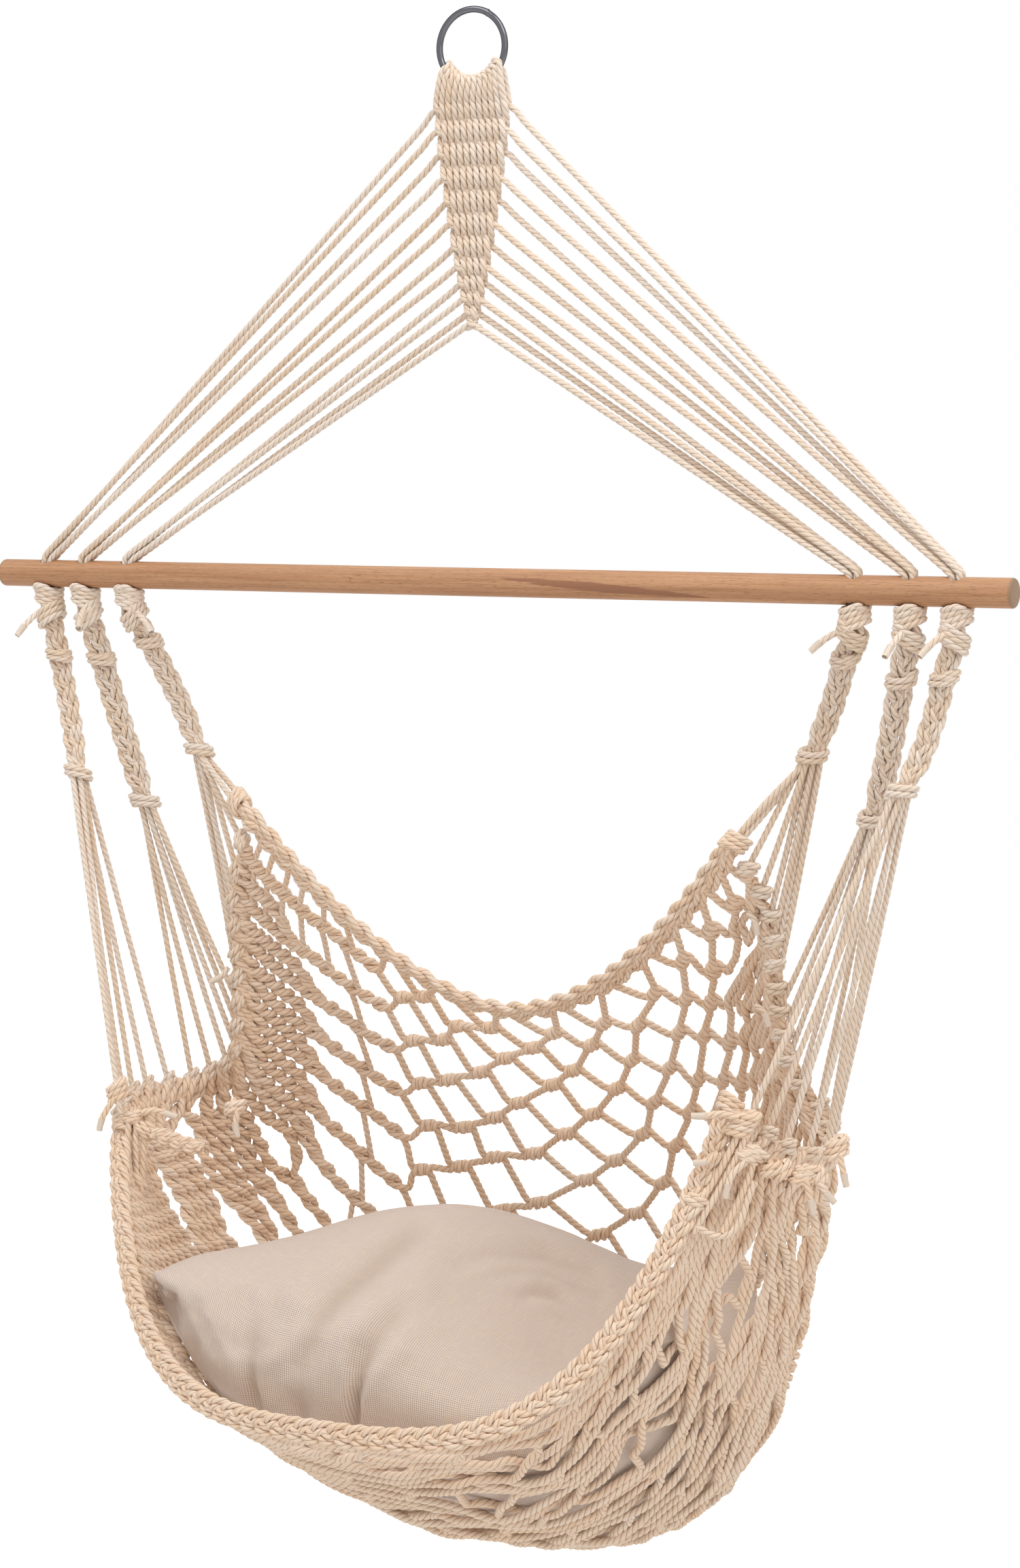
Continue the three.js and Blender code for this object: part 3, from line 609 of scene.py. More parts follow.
def woodMaterial():
    made = newMaterial("oiledBeech", {"Roughness": 0.52, "Specular IOR Level": 0.4})
    tree = made[1]
    coords = node(tree, "ShaderNodeTexCoord", output="Object")
    split = node(tree, "ShaderNodeSeparateXYZ", {0: coords}, None)
    colour, noises = wood["body"], {}
    for name, (darker, width, stretch, detail, known, most) in wood["layers"].items():
        squeezed = node(tree, "ShaderNodeMapping", {"Vector": coords, "Scale": (1 / stretch, 1, 1)})
        noises[name] = unevenness(tree, squeezed, width, detail, 0.55)
        colour = mixColours(tree, colour, wood[darker], mapped(tree, noises[name], known, (0, most)))
    # the brown streak: a long wedge that slants down to the right and ends in two points
    share = mapped(tree, split["X"], (wood["streakFrom"] * mm, wood["streakTo"] * mm))
    middle = maths(tree, "MULTIPLY_ADD", share, -wood["streakDrop"] * mm,
                   (wood["streakTop"] - bar["depth"]) * mm)
    wavy = maths(tree, "MULTIPLY_ADD", noises["grain"], wood["waver"] * mm, -wood["waver"] / 2 * mm)
    away = maths(tree, "ABSOLUTE", maths(tree, "SUBTRACT", maths(tree, "ADD", split["Z"], wavy), middle))
    swollen = maths(tree, "MULTIPLY", share, maths(tree, "SUBTRACT", 1, share))
    reach = maths(tree, "MULTIPLY_ADD", swollen, wood["streakSwell"] * mm, 0.01 * mm)
    streak = mapped(tree, maths(tree, "DIVIDE", away, reach), (1.1, 0.8), (0, 0.8), True)
    colour = mixColours(tree, colour, wood["streak"], streak)
    isEnd = mapped(tree, maths(tree, "ABSOLUTE", split["X"]),
                   (wood["endFrom"] * mm, wood["endTo"] * mm), (0, 0.9))
    colour = mixColours(tree, colour, wood["end"], isEnd)
    return finished(made, colour, noises["grain"], 0.35, wood["reliefDepth"])


def turnedBar(name, stations, sides):
    # a closed round bar along X, from (x, radius) pairs
    build = bmesh.new()
    angles = [fullTurn * side / sides for side in range(sides)]
    loops = [[build.verts.new(Vector((x, radius * math.sin(angle), radius * math.cos(angle) - bar["depth"]))
                              * mm) for angle in angles] for x, radius in stations]
    skin(build, loops)
    build.faces.new(loops[0])
    build.faces.new(loops[-1][::-1])
    bmesh.ops.recalc_face_normals(build, faces=build.faces)
    return built(name, build)


def drill(x):
    build = bmesh.new()
    radius = bar["holeRadius"] * mm
    bmesh.ops.create_cone(build, cap_ends=True, segments=bar["holeSides"], radius1=radius, radius2=radius,
                          depth=bar["drillLength"] * mm)
    bmesh.ops.translate(build, verts=build.verts, vec=Vector((x, 0, -bar["depth"])) * mm)
    return built("drill", build)


def barPiece():
    half, radius, soft = bar["length"] / 2, bar["radius"], bar["chamfer"]
    steps = bar["chamferSteps"]
    angles = [math.radians(90) * step / steps for step in range(steps + 1)]
    ends = [(half - soft * (1 - math.cos(a)), radius - soft * (1 - math.sin(a))) for a in angles]
    holes = [side * hole for side in (-1, 1) for hole in bar["holes"].values()]
    stations = [(-x, r) for x, r in ends]
    for hole in sorted(holes):
        stations += [(hole - bar["holeRoom"], radius), (hole + bar["holeRoom"], radius)]
    piece = turnedBar("spreaderBar", stations + ends[::-1], bar["sides"])
    drills = [drill(hole) for hole in holes]
    for cutter in drills:
        cut = piece.modifiers.new("hole", "BOOLEAN")
        cut.operation, cut.object, cut.solver = "DIFFERENCE", cutter, "EXACT"
    bevel = piece.modifiers.new("worn", "BEVEL")
    bevel.width, bevel.segments = bar["wornEdge"] * mm, bar["wornSteps"]
    bevel.limit_method = "ANGLE"
    bevel.angle_limit = math.radians(40)
    piece = applied(piece)
    for cutter in drills:
        bpy.data.objects.remove(cutter)
    piece.data.shade_smooth()
    piece.data.set_sharp_from_angle(angle=math.radians(35))
    return painted(piece, woodMaterial())


settle(barPiece(), "harness", "wood", "spreader_bar")
print("bar made")

# The seat's surface, which the net, rims, fans and cushion all follow. Each table runs from the back
# rim to the front one, in shares of the seat's sizes.
seat = {
    "topDrop": 224, "depth": 660, "halfWidth": 340, "reach": 280,
    "leftAcross": [0.706, 0.782, 0.794, 0.8, 0.835, 0.947, 0.994, 0.956, 0.891],
    "leftBack": [0.018, 0.096, 0.129, 0.143, 0.179, 0.171, -0.043, -0.257, -0.368],
    "leftDrop": [0.005, 0.102, 0.189, 0.268, 0.341, 0.374, 0.377, 0.383, 0.412],
    "rightAcross": [0.756, 0.797, 0.806, 0.815, 0.841, 0.935, 1, 0.956, 0.9],
    "rightBack": [0.011, 0.107, 0.129, 0.15, 0.179, 0.193, -0.018, -0.236, -0.368],
    "rightDrop": [0.005, 0.077, 0.15, 0.217, 0.291, 0.353, 0.377, 0.352, 0.302],
    "middleBack": [0.268, 0.529, 0.736, 0.893, 0.971, 0.843, 0.3, -0.286, -1],
    "middleDrop": [0.258, 0.342, 0.455, 0.586, 0.758, 0.925, 0.975, 0.897, 0.708],
    "leftDropPowers": [1.8, 2, 2.2, 2.5, 2.85, 2.9, 2.3, 2.25, 3.05],
    "rightDropPowers": [1.8, 2, 2.2, 2.5, 3.0, 3.5, 3.7, 3.6, 4.4],
    "backPowers": [1.7, 1.9, 2.1, 2.4, 2.65, 2.8, 2.75, 2.6, 2.5],
    "samples": 48,
}
rowPaths = {}


def along(table, share):
    place = min(max(share, 0), 1) * (len(table) - 1)
    first = min(int(place), len(table) - 2)
    return smoothAt(table, first, place - first)


def seatRow(down):
    down = round(down, 4)
    if down not in rowPaths:
        top = -bar["depth"] - seat["topDrop"]
        middleY = seat["reach"] * along(seat["middleBack"], down)
        middleZ = top - seat["depth"] * along(seat["middleDrop"], down)
        backPower = along(seat["backPowers"], down)
        halves = []
        for side, name in ((-1, "left"), (1, "right")):
            edgeX = side * seat["halfWidth"] * along(seat[name + "Across"], down)
            edgeY = seat["reach"] * along(seat[name + "Back"], down)
            edgeZ = top - seat["depth"] * along(seat[name + "Drop"], down)
            dropPower = along(seat[name + "DropPowers"], down)
            shares = [sample / seat["samples"] for sample in range(seat["samples"] + 1)]
            halves.append([Vector((edgeX * share, middleY + (edgeY - middleY) * share ** backPower,
                                   middleZ + (edgeZ - middleZ) * share ** dropPower)) for share in shares])
        rowPaths[down] = Path(halves[0][:0:-1] + halves[1])
    return rowPaths[down]


def seatPoint(across, down):
    row = seatRow(down)
    return row.at((across + 1) / 2 * row.length)


def seatFrame(across, down):
    left, right = max(across - 0.01, -1), min(across + 0.01, 1)
    upper, lower = max(down - 0.01, 0), min(down + 0.01, 1)
    row = (seatPoint(right, down) - seatPoint(left, down)).normalized()
    normal = (seatPoint(across, lower) - seatPoint(across, upper)).cross(row).normalized()
    return row, normal, row.cross(normal)


# Straps: from a hole in the bar down to the knot that its fan of cords leaves
strap = {
    "fanCords": 6, "topKnotDrop": 28.5, "barKnotRise": 8.5, "barKnotTilt": 0.1, "underKnotDrop": 9,
    "coreOffset": 3.1, "coreRadius": 2.9, "tail": 32, "tailFrom": 9, "tailRadius": 2.9, "tailStep": 2.4,
    "tapedPoints": 6, "barRoom": 0.4, "rimOffset": 11.5, "plaitFrom": 8, "plaitShort": 4,
    "fanRadius": 2.85, "fanSpread": 3.3, "fanDepth": 2.7, "fanBow": -2.0, "rimCordRadius": 2.95,
    "rimCordOffset": 2.9,
    # side, hole, then the middle and the lower knot in shares of the seat's top drop, and the tail's way
    "routes": {
        "left_outer": (-1, "outer", (0.098, -0.009, -0.554), (0.179, -0.062, -0.821), (-0.5, -0.8, -0.7)),
        "left_middle": (-1, "middle", (0.112, 0.089, -0.634), (0.192, 0.138, -0.946), (0.4, -0.9, -0.4)),
        "left_inner": (-1, "inner", (0.138, 0.121, -0.482), (0.232, 0.156, -0.723), (0.9, -0.4, -0.5)),
        "right_outer": (1, "outer", (0.103, -0.009, -0.527), (0.183, -0.062, -0.732), (0.55, -0.8, -0.5)),
        "right_middle": (1, "middle", (0.112, 0.089, -0.589), (0.192, 0.138, -0.857), (0.2, -0.9, -0.5)),
        "right_inner": (1, "inner", (0.138, 0.121, -0.438), (0.232, 0.156, -0.634), (0.95, -0.3, -0.5)),
    },
    # each hole's place in the row of fans, the second knot's share of the strap, how wide, how it faces
    "holes": {"outer": (2, 0.3, 1.0, (0.3, -0.95, 0)), "middle": (1, 0.27, 1.2, (0.47, -0.88, 0)),
              "inner": (0, 0.25, 1.05, (0.47, -0.88, 0))},
}
tapes = []


def strapPoint(side, hole, shares):
    return Vector((side * (bar["holes"][hole] - shares[0] * seat["topDrop"]),
                   shares[1] * seat["topDrop"], shares[2] * seat["topDrop"] - bar["depth"]))


def clearOfBar(cords):
    # the seat swings about the bar, so what is tied under it keeps clear of the wood
    for one in cords:
        radius = max(one["radius"]) if isinstance(one["radius"], list) else one["radius"]
        least = bar["radius"] + radius + strap["barRoom"]
        for place, point in enumerate(one["points"]):
            reach = math.hypot(point.y, point.z + bar["depth"])
            if reach < least:
                grow = least / max(reach, 0.1)
                one["points"][place] = Vector((
                    point.x, point.y * grow, (point.z + bar["depth"]) * grow - bar["depth"]))
    return cords


def rimPoint(across, down):
    away = -1 if down == 0 else 1
    return seatPoint(across, down) + seatFrame(across, down)[2] * away * strap["rimOffset"]


def looseTail(start, way, length):
    # a cord end that bends a little under its own weight and is taped at its tip
    way = way.normalized()
    line = curveThrough([start + way * length * share + Vector((0, 0, lift))
                         for share, lift in ((0, 0), (0.35, 0.5), (0.7, -1.0), (1, -4.5))], strap["tailStep"])
    tapes.append(line[-strap["tapedPoints"]:])
    return cord(line, strap["tailRadius"])


def topKnot(top, path, side, face, wide, secondShare, tailWay):
    # two thick bands of wraps under the bar, a smaller one further down, and a loose tail
    knot = wraps(top + Vector((0, 0, strap["barKnotRise"])), Vector((strap["barKnotTilt"] * side, 0, -1)),
                 face, "atBar", dice.random(), side)
    axis = path.way(10)
    knot += wraps(top + axis * strap["underKnotDrop"], axis, face, "underBar", dice.random(), side)
    for offset in (-strap["coreOffset"], strap["coreOffset"]):
        knot.append(cord(curveThrough([
            Vector((top.x + offset, -1.5, -bar["depth"] - bar["radius"] - 3)),
            top + Vector((offset * 1.2, -4, 6)), top + Vector((offset * 2, 0, -8))]), strap["coreRadius"]))
    second = path.length * secondShare
    knot += wraps(path.at(second), path.way(second), face, "second", 0.05 + 0.4 * dice.random(), side,
                  reach=knots["second"]["reach"] * wide ** 0.5)
    tailWay = Vector((-side * tailWay[0], tailWay[1], tailWay[2]))
    return knot + [looseTail(top + tailWay.normalized() * strap["tailFrom"], tailWay, strap["tail"])]


def fan(lower, path, side, hole, face, wide):
    # the strap's lower knot and its six cords, each tied to the net's side
    count, order = strap["fanCords"], strap["holes"][hole][0]
    shares = [(order * count + number + 0.5) / (3 * count) for number in range(count)]
    ends = [seatPoint(side, share) for share in shares]
    fanWay = (sum(ends, Vector()) / count - lower).normalized()
    spread = squareTo(ends[-1] - ends[0], fanWay)
    thick = fanWay.cross(spread)
    bow = fanWay.cross(Vector((0, 0, 1))).cross(fanWay) * strap["fanBow"]
    cords = wraps(lower, (path.way(path.length - 5) + fanWay).normalized(), face, "lower",
                  0.45 + 0.3 * dice.random(), side, reach=knots["lower"]["reach"] * wide ** 0.5)
    for number, end in enumerate(ends):
        layer = strap["fanDepth"] if number % 2 else -strap["fanDepth"]
        offset = spread * (number - (count - 1) / 2) * strap["fanSpread"] + thick * layer
        first, second = lower + offset * 0.7 - fanWay * 6, lower + offset + fanWay * 14
        line = curveThrough([first, second, second.lerp(end, 0.5) + bow, end], 5)
        cords.append(cord(line, strap["fanRadius"]))
    if hole == "inner":
        rimEnd = rimPoint(side, 0)
        for offset in (-strap["rimCordOffset"], strap["rimCordOffset"]):
            first = lower + Vector((-side * 5, offset, -6))
            cords.append(cord(curveThrough([
                first, first.lerp(rimEnd, 0.5) + Vector((offset * 0.6, offset, 1)),
                rimEnd + Vector((offset, 0, 0))], 5), strap["rimCordRadius"]))
    for share, end in zip(shares, ends):
        into = (seatPoint(side * 0.96, share) - end).normalized()
        cords += wraps(end, (end - lower).normalized() + into, seatFrame(side, 0.5)[1], "fanEnd",
                       dice.random())
    return cords


for name, (side, hole, middleShares, lowerShares, tailWay) in strap["routes"].items():
    secondShare, wide, face = strap["holes"][hole][1:]
    face = Vector(face)
    top = Vector((side * bar["holes"][hole], 0, -bar["depth"] - strap["topKnotDrop"]))
    lower = strapPoint(side, hole, lowerShares)
    path = Path(curveThrough([top, strapPoint(side, hole, middleShares), lower], 4))
    shape = dict(plaits["strap"], swing=plaits["strap"]["swing"] * wide,
                 pair=plaits["strap"]["pair"] * wide ** 0.5)
    widthWay = path.way(path.length / 2).cross(face).normalized()
    cords = plait(path, lambda place: widthWay, shape, strap["plaitFrom"], path.length - strap["plaitShort"])
    settle(layCords(f"{name}_braid", cords), "seat", "cotton", f"{name}_braid")
    knot = clearOfBar(topKnot(top, path, side, face, wide, secondShare, tailWay))
    settle(layCords(f"{name}_topKnot", knot, ringSpacing=cordShape["closeSpacing"]),
           "seat", "cotton", f"{name}_top_knot")
    cords = clearOfBar(fan(lower, path, side, hole, face, wide))
    settle(layCords(f"{name}_fan", cords), "seat", "cotton", f"{name}_fan")
print("straps and fans made")

# Seat net: 36 cords run from side to side, wound round each other in pairs. At the left the pairs stay
# together as ropes with thin cords between them. In the middle and right of the back each cord winds
# round one neighbour, parts from it and winds round the other one, which leaves six-sided holes. At
# the right and the front the net hangs closed: the cords cross now and then, with more cords between.
net = {
    "cords": 36, "columns": 26, "edge": 0.965, "crowd": 0.3, "settled": 0.62, "taut": 3.6, "slack": 3.9,
    "twistShare": 0.25, "slackShare": 0.43, "halfTurns": 3, "windingSteps": 12, "skew": 0.24,
    "slackSkew": 0.08, "crossed": 0.6, "apart": 0.36, "acrossJitter": 0.34, "downJitter": 0.32,
    "rimTurn": 0.012, "legStep": 3.2, "groups": 4, "spacing": 2.6, "between": 3.8, "behind": 6.6,
    "drift": 0.28, "over": 1.2, "betweenSpacing": 2.8, "ropeEnd": -0.36, "ropeSwing": 0.1,
    "joinSpan": 1.6, "joinedShare": 0.7, "leg": 3.0, "legLean": 0.45, "legJitter": 0.3, "slitReach": 3.2,
    "mostPushed": 0.49, "endsDrawn": 0.2, "ropeSteps": 8, "fewest": 3,
    # where each of these sets in, as a share of the net, and how far it takes
    "sideSlack": (0.42, 0.25), "topTaut": (-0.1, 0.3), "frontSlack": (0.46, 0.16), "skewEased": 0.7,
    "skewEases": (-0.28, 0.35), "legLeans": (-0.8, 0.45), "sideSpan": 0.12, "calmSpan": 0.2,
}
netStep = 2 * net["edge"] / (net["columns"] - 1)
# slits: where along the net, at which level, half length, how far the cords are pushed apart
slits = [(0.62, 27.5, 0.1, 1.5), (0.47, 31.5, 0.07, 0.9), (0.78, 22.5, 0.06, 0.9),
         (0.35, 28.5, 0.06, 0.8), (-0.72, 25.5, 0.08, 1.1), (-0.84, 20.5, 0.06, 1.0),
         (-0.6, 20.5, 0.07, 1.0), (-0.86, 30.5, 0.06, 0.9), (-0.7, 14.5, 0.06, 0.8),
         (0.1, 30.5, 0.05, 0.8), (-0.25, 32.5, 0.05, 0.7), (0.2, 33.5, 0.05, 0.8)]


def netSlack(across, level):
    share = level / net["cords"]
    return max(ramp(abs(across), *net["sideSlack"]) * ramp(share, *net["topTaut"]),
               ramp(share, *net["frontSlack"]))


def netSpot(across, level):
    # levels lie closer towards the front
    for middle, slitLevel, length, width in slits:
        off = level - slitLevel
        push = width * math.exp(-((across - middle) / length) ** 2 - (off / net["slitReach"]) ** 2)
        level += math.copysign(min(push, net["mostPushed"] + abs(off)), off)
    opened = ramp(1 - abs(across), 0, net["sideSpan"])
    share = min(max(level / net["cords"], 0), 1)
    return (across * (1 + net["crowd"] * (1 - across * across)),
            share + net["settled"] * share * (1 - share) * opened)


def netPoint(across, level):
    return seatPoint(*netSpot(across, level))


def netNormal(across, level):
    return seatFrame(*netSpot(across, level))[1]


def columnPlace(column):
    return -net["edge"] + column * netStep


def roped(column):
    return columnPlace(column) < net["ropeEnd"]


def winds(level, column):
    # ropes wind at every odd level, and the other cords staggered
    return level % 2 == 1 if roped(column) else (level + column) % 2 == 0


def netTwists():
    # the two ends of each winding and its half turns, by level and column
    twists = {}
    chance = random.Random(5)
    for level in range(1, net["cords"]):
        sway = [(chance.random() - 0.5) * 2 * net["ropeSwing"] for _ in range(net["columns"] + 1)]
        for column in filter(lambda column: winds(level, column), range(net["columns"])):
            across = columnPlace(column)
            if roped(column):
                ends = [(across + (part - 0.5) * netStep, level + sway[column + part]) for part in (0, 1)]
                twists[level, column] = (*ends, 2)
                continue
            slack = netSlack(across, level)
            calm = ramp(1 - across, 0, net["calmSpan"])
            half = netStep * (net["twistShare"] + (net["slackShare"] - net["twistShare"]) * slack)
            skew = net["skew"] * (1 - net["skewEased"] * ramp(across, *net["skewEases"]))
            skew = (skew + (net["slackSkew"] - skew) * slack) * calm
            across += (chance.random() - 0.5) * net["acrossJitter"] * netStep * calm
            middle = level + (chance.random() - 0.5) * net["downJitter"] * calm
            crossed = chance.random() < net["crossed"]
            twists[level, column] = ((across - half, middle + skew), (across + half, middle - skew),
                                     net["halfTurns"] if slack < 0.5 else int(crossed))
    return twists


def softened(line):
    # eases the bends where a winding ends, without drawing the winding itself in
    points = [point for point, radius, fixed in line]
    for _ in range(3):
        points = [point if line[place][2] else (points[place - 1] + point * 2 + points[place + 1]) / 4
                  for place, point in enumerate(points)]
    return points


def lead(line, point, radius, fixed):
    # adds a point, and points on the leg that leads to it
    if line:
        last = line[-1][0]
        stops = max(1, round((point - last).length / net["legStep"]))
        line += [(last.lerp(point, stop / stops), radius, False) for stop in range(1, stops)]
    line.append((point, radius, fixed))


def netRoutes(twists):
    count = net["cords"]
    starts, stops = ([seatPoint(side, (place // 2 + 0.5) / (count / 2)) for place in range(count)]
                     for side in (-1, 1))
    lines = [[(start, net["taut"], True)] for start in starts]
    order = list(lines)
    for column in range(net["columns"]):
        across = columnPlace(column)
        for level in filter(lambda level: winds(level, column), range(count + 1)):
            slack = netSlack(across, level)
            radius = net["taut"] + (net["slack"] - net["taut"]) * slack
            if level in (0, count):
                # the cord turns round the rim here
                for shift in (-net["rimTurn"], net["rimTurn"]):
                    lead(order[min(level, count - 1)],
                         rimPoint(netSpot(across, level)[0] + shift, level / count), radius, False)
                continue
            first, second, halfTurns = twists[level, column]
            start, end = netPoint(*first), netPoint(*second)
            normal = netNormal(across, level)
            axis = (end - start).normalized()
            downWay = squareTo(axis.cross(normal), axis)
            aside = radius
            if not roped(column):
                gap = (netPoint(across, level + 0.5) - netPoint(across, level - 0.5)).length
                aside += (max(net["apart"] * gap, radius) - radius) * slack
            steps = net["windingSteps"]
            for line, offset in ((order[level - 1], math.pi), (order[level], 0)):
                for step in range(steps + 1):
                    share = step / steps
                    angle = offset + math.pi * halfTurns * share
                    ease = (1 - net["endsDrawn"]) + net["endsDrawn"] * math.sin(math.pi * share)
                    lead(line, start.lerp(end, share) + downWay * aside * ease * math.cos(angle)
                         + normal * radius * ease * math.sin(angle), radius, 1 < step < steps - 1)
            if halfTurns % 2:
                order[level - 1], order[level] = order[level], order[level - 1]
    for line, stop in zip(order, stops):
        lead(line, stop, net["taut"], True)
    return [cord(softened(line), [radius for point, radius, fixed in line]) for line in lines]


def betweenRoutes(twists):
    # where the net hangs closed: cords along each level, over or under the crossings, which end
    # inside a crossing or at the net's side; the ropes' even levels are done by evenRopes
    chance = random.Random(9)
    cords = []
    for level in range(1, net["cords"]):
        stretch = []
        for column in range(net["columns"] + 1):
            across = min(columnPlace(column), 1)
            turns = twists.get((level, column), (0, 0, 0))[2]
            side, drift = chance.choice((-1, 1)), (chance.random() - 0.5) * net["drift"]
            if netSlack(across, level) > 0.5 and columnPlace(column + 1) >= net["ropeEnd"]:
                stretch.append((across, drift, side * net["behind" if turns else "over"], turns))
        while stretch and not stretch[0][3]:
            stretch.pop(0)
        if len(stretch) < net["fewest"]:
            continue
        points = [netPoint(across, level + drift) + netNormal(across, level + drift) * offset
                  for across, drift, offset, turns in stretch[1:-1]]
        ends = [netPoint(stretch[end][0], level) for end in (0, -1)]
        cords.append(cord(curveThrough([ends[0], *points, ends[1]], 4), net["between"]))
    return cords


def evenRopes():
    # pairs between the ropes at the left, where the net hangs closed; each joins the rope below it
    cords = []
    for level in range(2, net["cords"], 2):
        last = max((column for column in range(net["columns"]) if roped(column)
                    and netSlack(columnPlace(column), level) > 0.5), default=-1)
        if last < net["fewest"]:
            continue
        for part in (0, 1):
            line = [seatPoint(-1, level / net["cords"])]
            for step in range(last * net["ropeSteps"] + 1):
                place = step / net["ropeSteps"]
                joined = ramp(place, last - net["joinSpan"], net["joinSpan"])
                spot = netSpot(columnPlace(place), min(level + joined, net["cords"] - 1))
                row, normal, downWay = seatFrame(*spot)
                angle = fullTurn * place + math.pi * part
                line.append(seatPoint(*spot) + (downWay * math.cos(angle) + normal * math.sin(angle))
                            * net["slack"] * (1 - net["joinedShare"] * joined))
            cords.append(cord(line, net["slack"]))
    return cords


def ropeLegs():
    # thin cords from rope to rope, and from the rim to the first one
    chance = random.Random(3)
    cords = []
    for level in range(-1, net["cords"] - 2, 2):
        for column in range(1, net["columns"]):
            across = columnPlace(column)
            if not roped(column + 1) or netSlack(across, level + 1) > 0.55:
                continue
            lean = (net["legLean"] * ramp(across, *net["legLeans"])
                    + net["legJitter"] * (chance.random() - 0.5))
            upper = rimPoint(netSpot(across, 0)[0], 0) if level < 0 else netPoint(across, level)
            lower = netPoint(across + lean * netStep, level + 2)
            bow = netNormal(across, level + 1) * (chance.random() - 0.5) * net["leg"]
            cords.append(cord(curveThrough([upper, upper.lerp(lower, 0.5) + bow, lower], 4), net["leg"]))
    return cords


netPlan = netTwists()
netLines = netRoutes(netPlan)
perGroup = net["cords"] // net["groups"]
for group in range(net["groups"]):
    cords = netLines[group * perGroup:(group + 1) * perGroup]
    piece = layCords(f"seatNet_{group + 1}", cords, netMaterial, net["spacing"])
    settle(piece, "seat", "cotton", "seat_net")
betweenLines = betweenRoutes(netPlan) + evenRopes() + ropeLegs()
for group in range(2):
    piece = layCords(f"netBetween_{group + 1}", betweenLines[group::2], netMaterial, net["betweenSpacing"])
    settle(piece, "seat", "cotton", "seat_net")
print("net made")

# Rims: thick plaits of doubled cord along the net's back and front edge. The back one runs on for a
# little towards the inner straps, and the front one turns its flat side outwards.
rims = {"back": {"down": 0, "turn": 0, "runOn": {-1: 24, 1: 8}},
        "front": {"down": 1, "turn": math.radians(65), "runOn": {}}}
rimStops = 60


def rimCords(name, rim):
    down = rim["down"]
    line = [rimPoint(-1 + 2 * stop / rimStops, down) for stop in range(rimStops + 1)]
    for side, runOn in rim["runOn"].items():
        end = line[0 if side < 0 else -1]
        inner = strap["routes"]["left_inner" if side < 0 else "right_inner"]
        onward = end + (strapPoint(side, "inner", inner[3]) - end).normalized() * runOn
        line.insert(0 if side < 0 else len(line), onward)
    path = Path(curveThrough(line, 4))

    def acrossRim(place):
        row, normal, downWay = seatFrame(min(max(2 * place / path.length - 1, -1), 1), down)
        return downWay * math.cos(rim["turn"]) + normal * math.sin(rim["turn"])

    cords = plait(path, acrossRim, plaits[name])
    for side, end in ((-1, 0), (1, path.length)):
        cords += wraps(path.at(end), path.way(end), seatFrame(side, down)[1], "rimEnd", 0.3)
    return cords


for name, rim in rims.items():
    settle(layCords(f"{name}Rim", rimCords(name, rim), netMaterial), "seat", "cotton", f"{name}_rim_braid")
print("rims made")

# Ties at the net's front corners: big knots, a plaited tail, cords that run beside the rim, a loose
# loop. Places are as seen from the camera, in millimetres right and up on its plane; a knot also has
# its reach, its number of cords and how far its axis turns from level.
cornerTies = {
    -1: {
        "knots": [(-343, -268, 8.0, 3, 100), (-328, -290, 6.5, 2, 60), (-316, -301, 8.6, 3, 20),
                  (-327, -345, 7.4, 2, 5), (-240, -282, 7.0, 2, 80)],
        "cords": [[(-333, -292), (-334, -318), (-331, -346), (-332, -366)],
                  [(-326, -292), (-327, -318), (-326, -346), (-327, -366)],
                  [(-320, -300), (-320, -322), (-322, -346), (-323, -366)]],
        "plaits": [[(-312, -304), (-298, -310), (-284, -315), (-269, -318)]],
        "tails": [[(-345, -274), (-352, -284), (-357, -294), (-359, -303)],
                  [(-322, -287), (-310, -285), (-300, -288), (-291, -291)],
                  [(-238, -286), (-240, -298), (-238, -308)]],
    },
    1: {
        "knots": [(203, -297, 8.6, 4, 60), (211, -323, 8.2, 3, 30), (228, -336, 6.6, 2, 80),
                  (238, -338, 6.4, 2, 100), (258, -341, 7.8, 3, 60), (286, -318, 7.8, 3, 90),
                  (163, -364, 7.4, 2, 40), (270, -345, 6.6, 2, 120)],
        "cords": [[(162, -385), (172, -392), (184, -395), (195, -390), (203, -377), (208, -362), (214, -347)],
                  [(200, -305), (190, -325), (176, -350), (164, -368), (150, -388)],
                  [(206, -308), (197, -328), (184, -352), (172, -372), (160, -392)],
                  [(213, -330), (206, -350), (196, -372), (186, -392)]],
        "plaits": [],
        "tails": [[(200, -292), (184, -288), (171, -290), (158, -290)],
                  [(206, -330), (195, -340), (190, -352), (188, -362)],
                  [(182, -322), (172, -330), (160, -331)], [(258, -346), (262, -360), (265, -376)],
                  [(270, -348), (277, -358), (284, -366)], [(288, -324), (291, -338), (294, -352)]],
    },
}
# smaller ends that stick out beside the fans and the back rim
looseEnds = [[(-246, -160), (-252, -168), (-262, -173)], [(208, -112), (214, -120), (216, -132)],
             [(214, -193), (222, -200), (226, -212)]]
# how much nearer to the camera than the net's corner each kind of tie lies, and how thick it is
tieNearer = {"knots": 9, "cords": 13, "tails": 17, "plaits": 18, "looseEnds": 10}
tieRadius = {"cords": 3.1, "tails": 3.0, "looseEnds": 2.8}
tieBandShare, tipNarrowed, tipStops = 0.8, 0.5, 5


def seenCurve(places, reference, kind, step=2.6):
    return curveThrough([fromView(right, up, reference, tieNearer[kind]) for right, up in places], step)


def taped(places, reference, kind):
    line = seenCurve(places, reference, kind, strap["tailStep"])
    tapes.append(line[-strap["tapedPoints"]:])
    last = len(line) - 1
    return cord(line, [tieRadius[kind] - tipNarrowed * ramp(stop, last - tipStops, tipStops)
                       for stop in range(last + 1)])


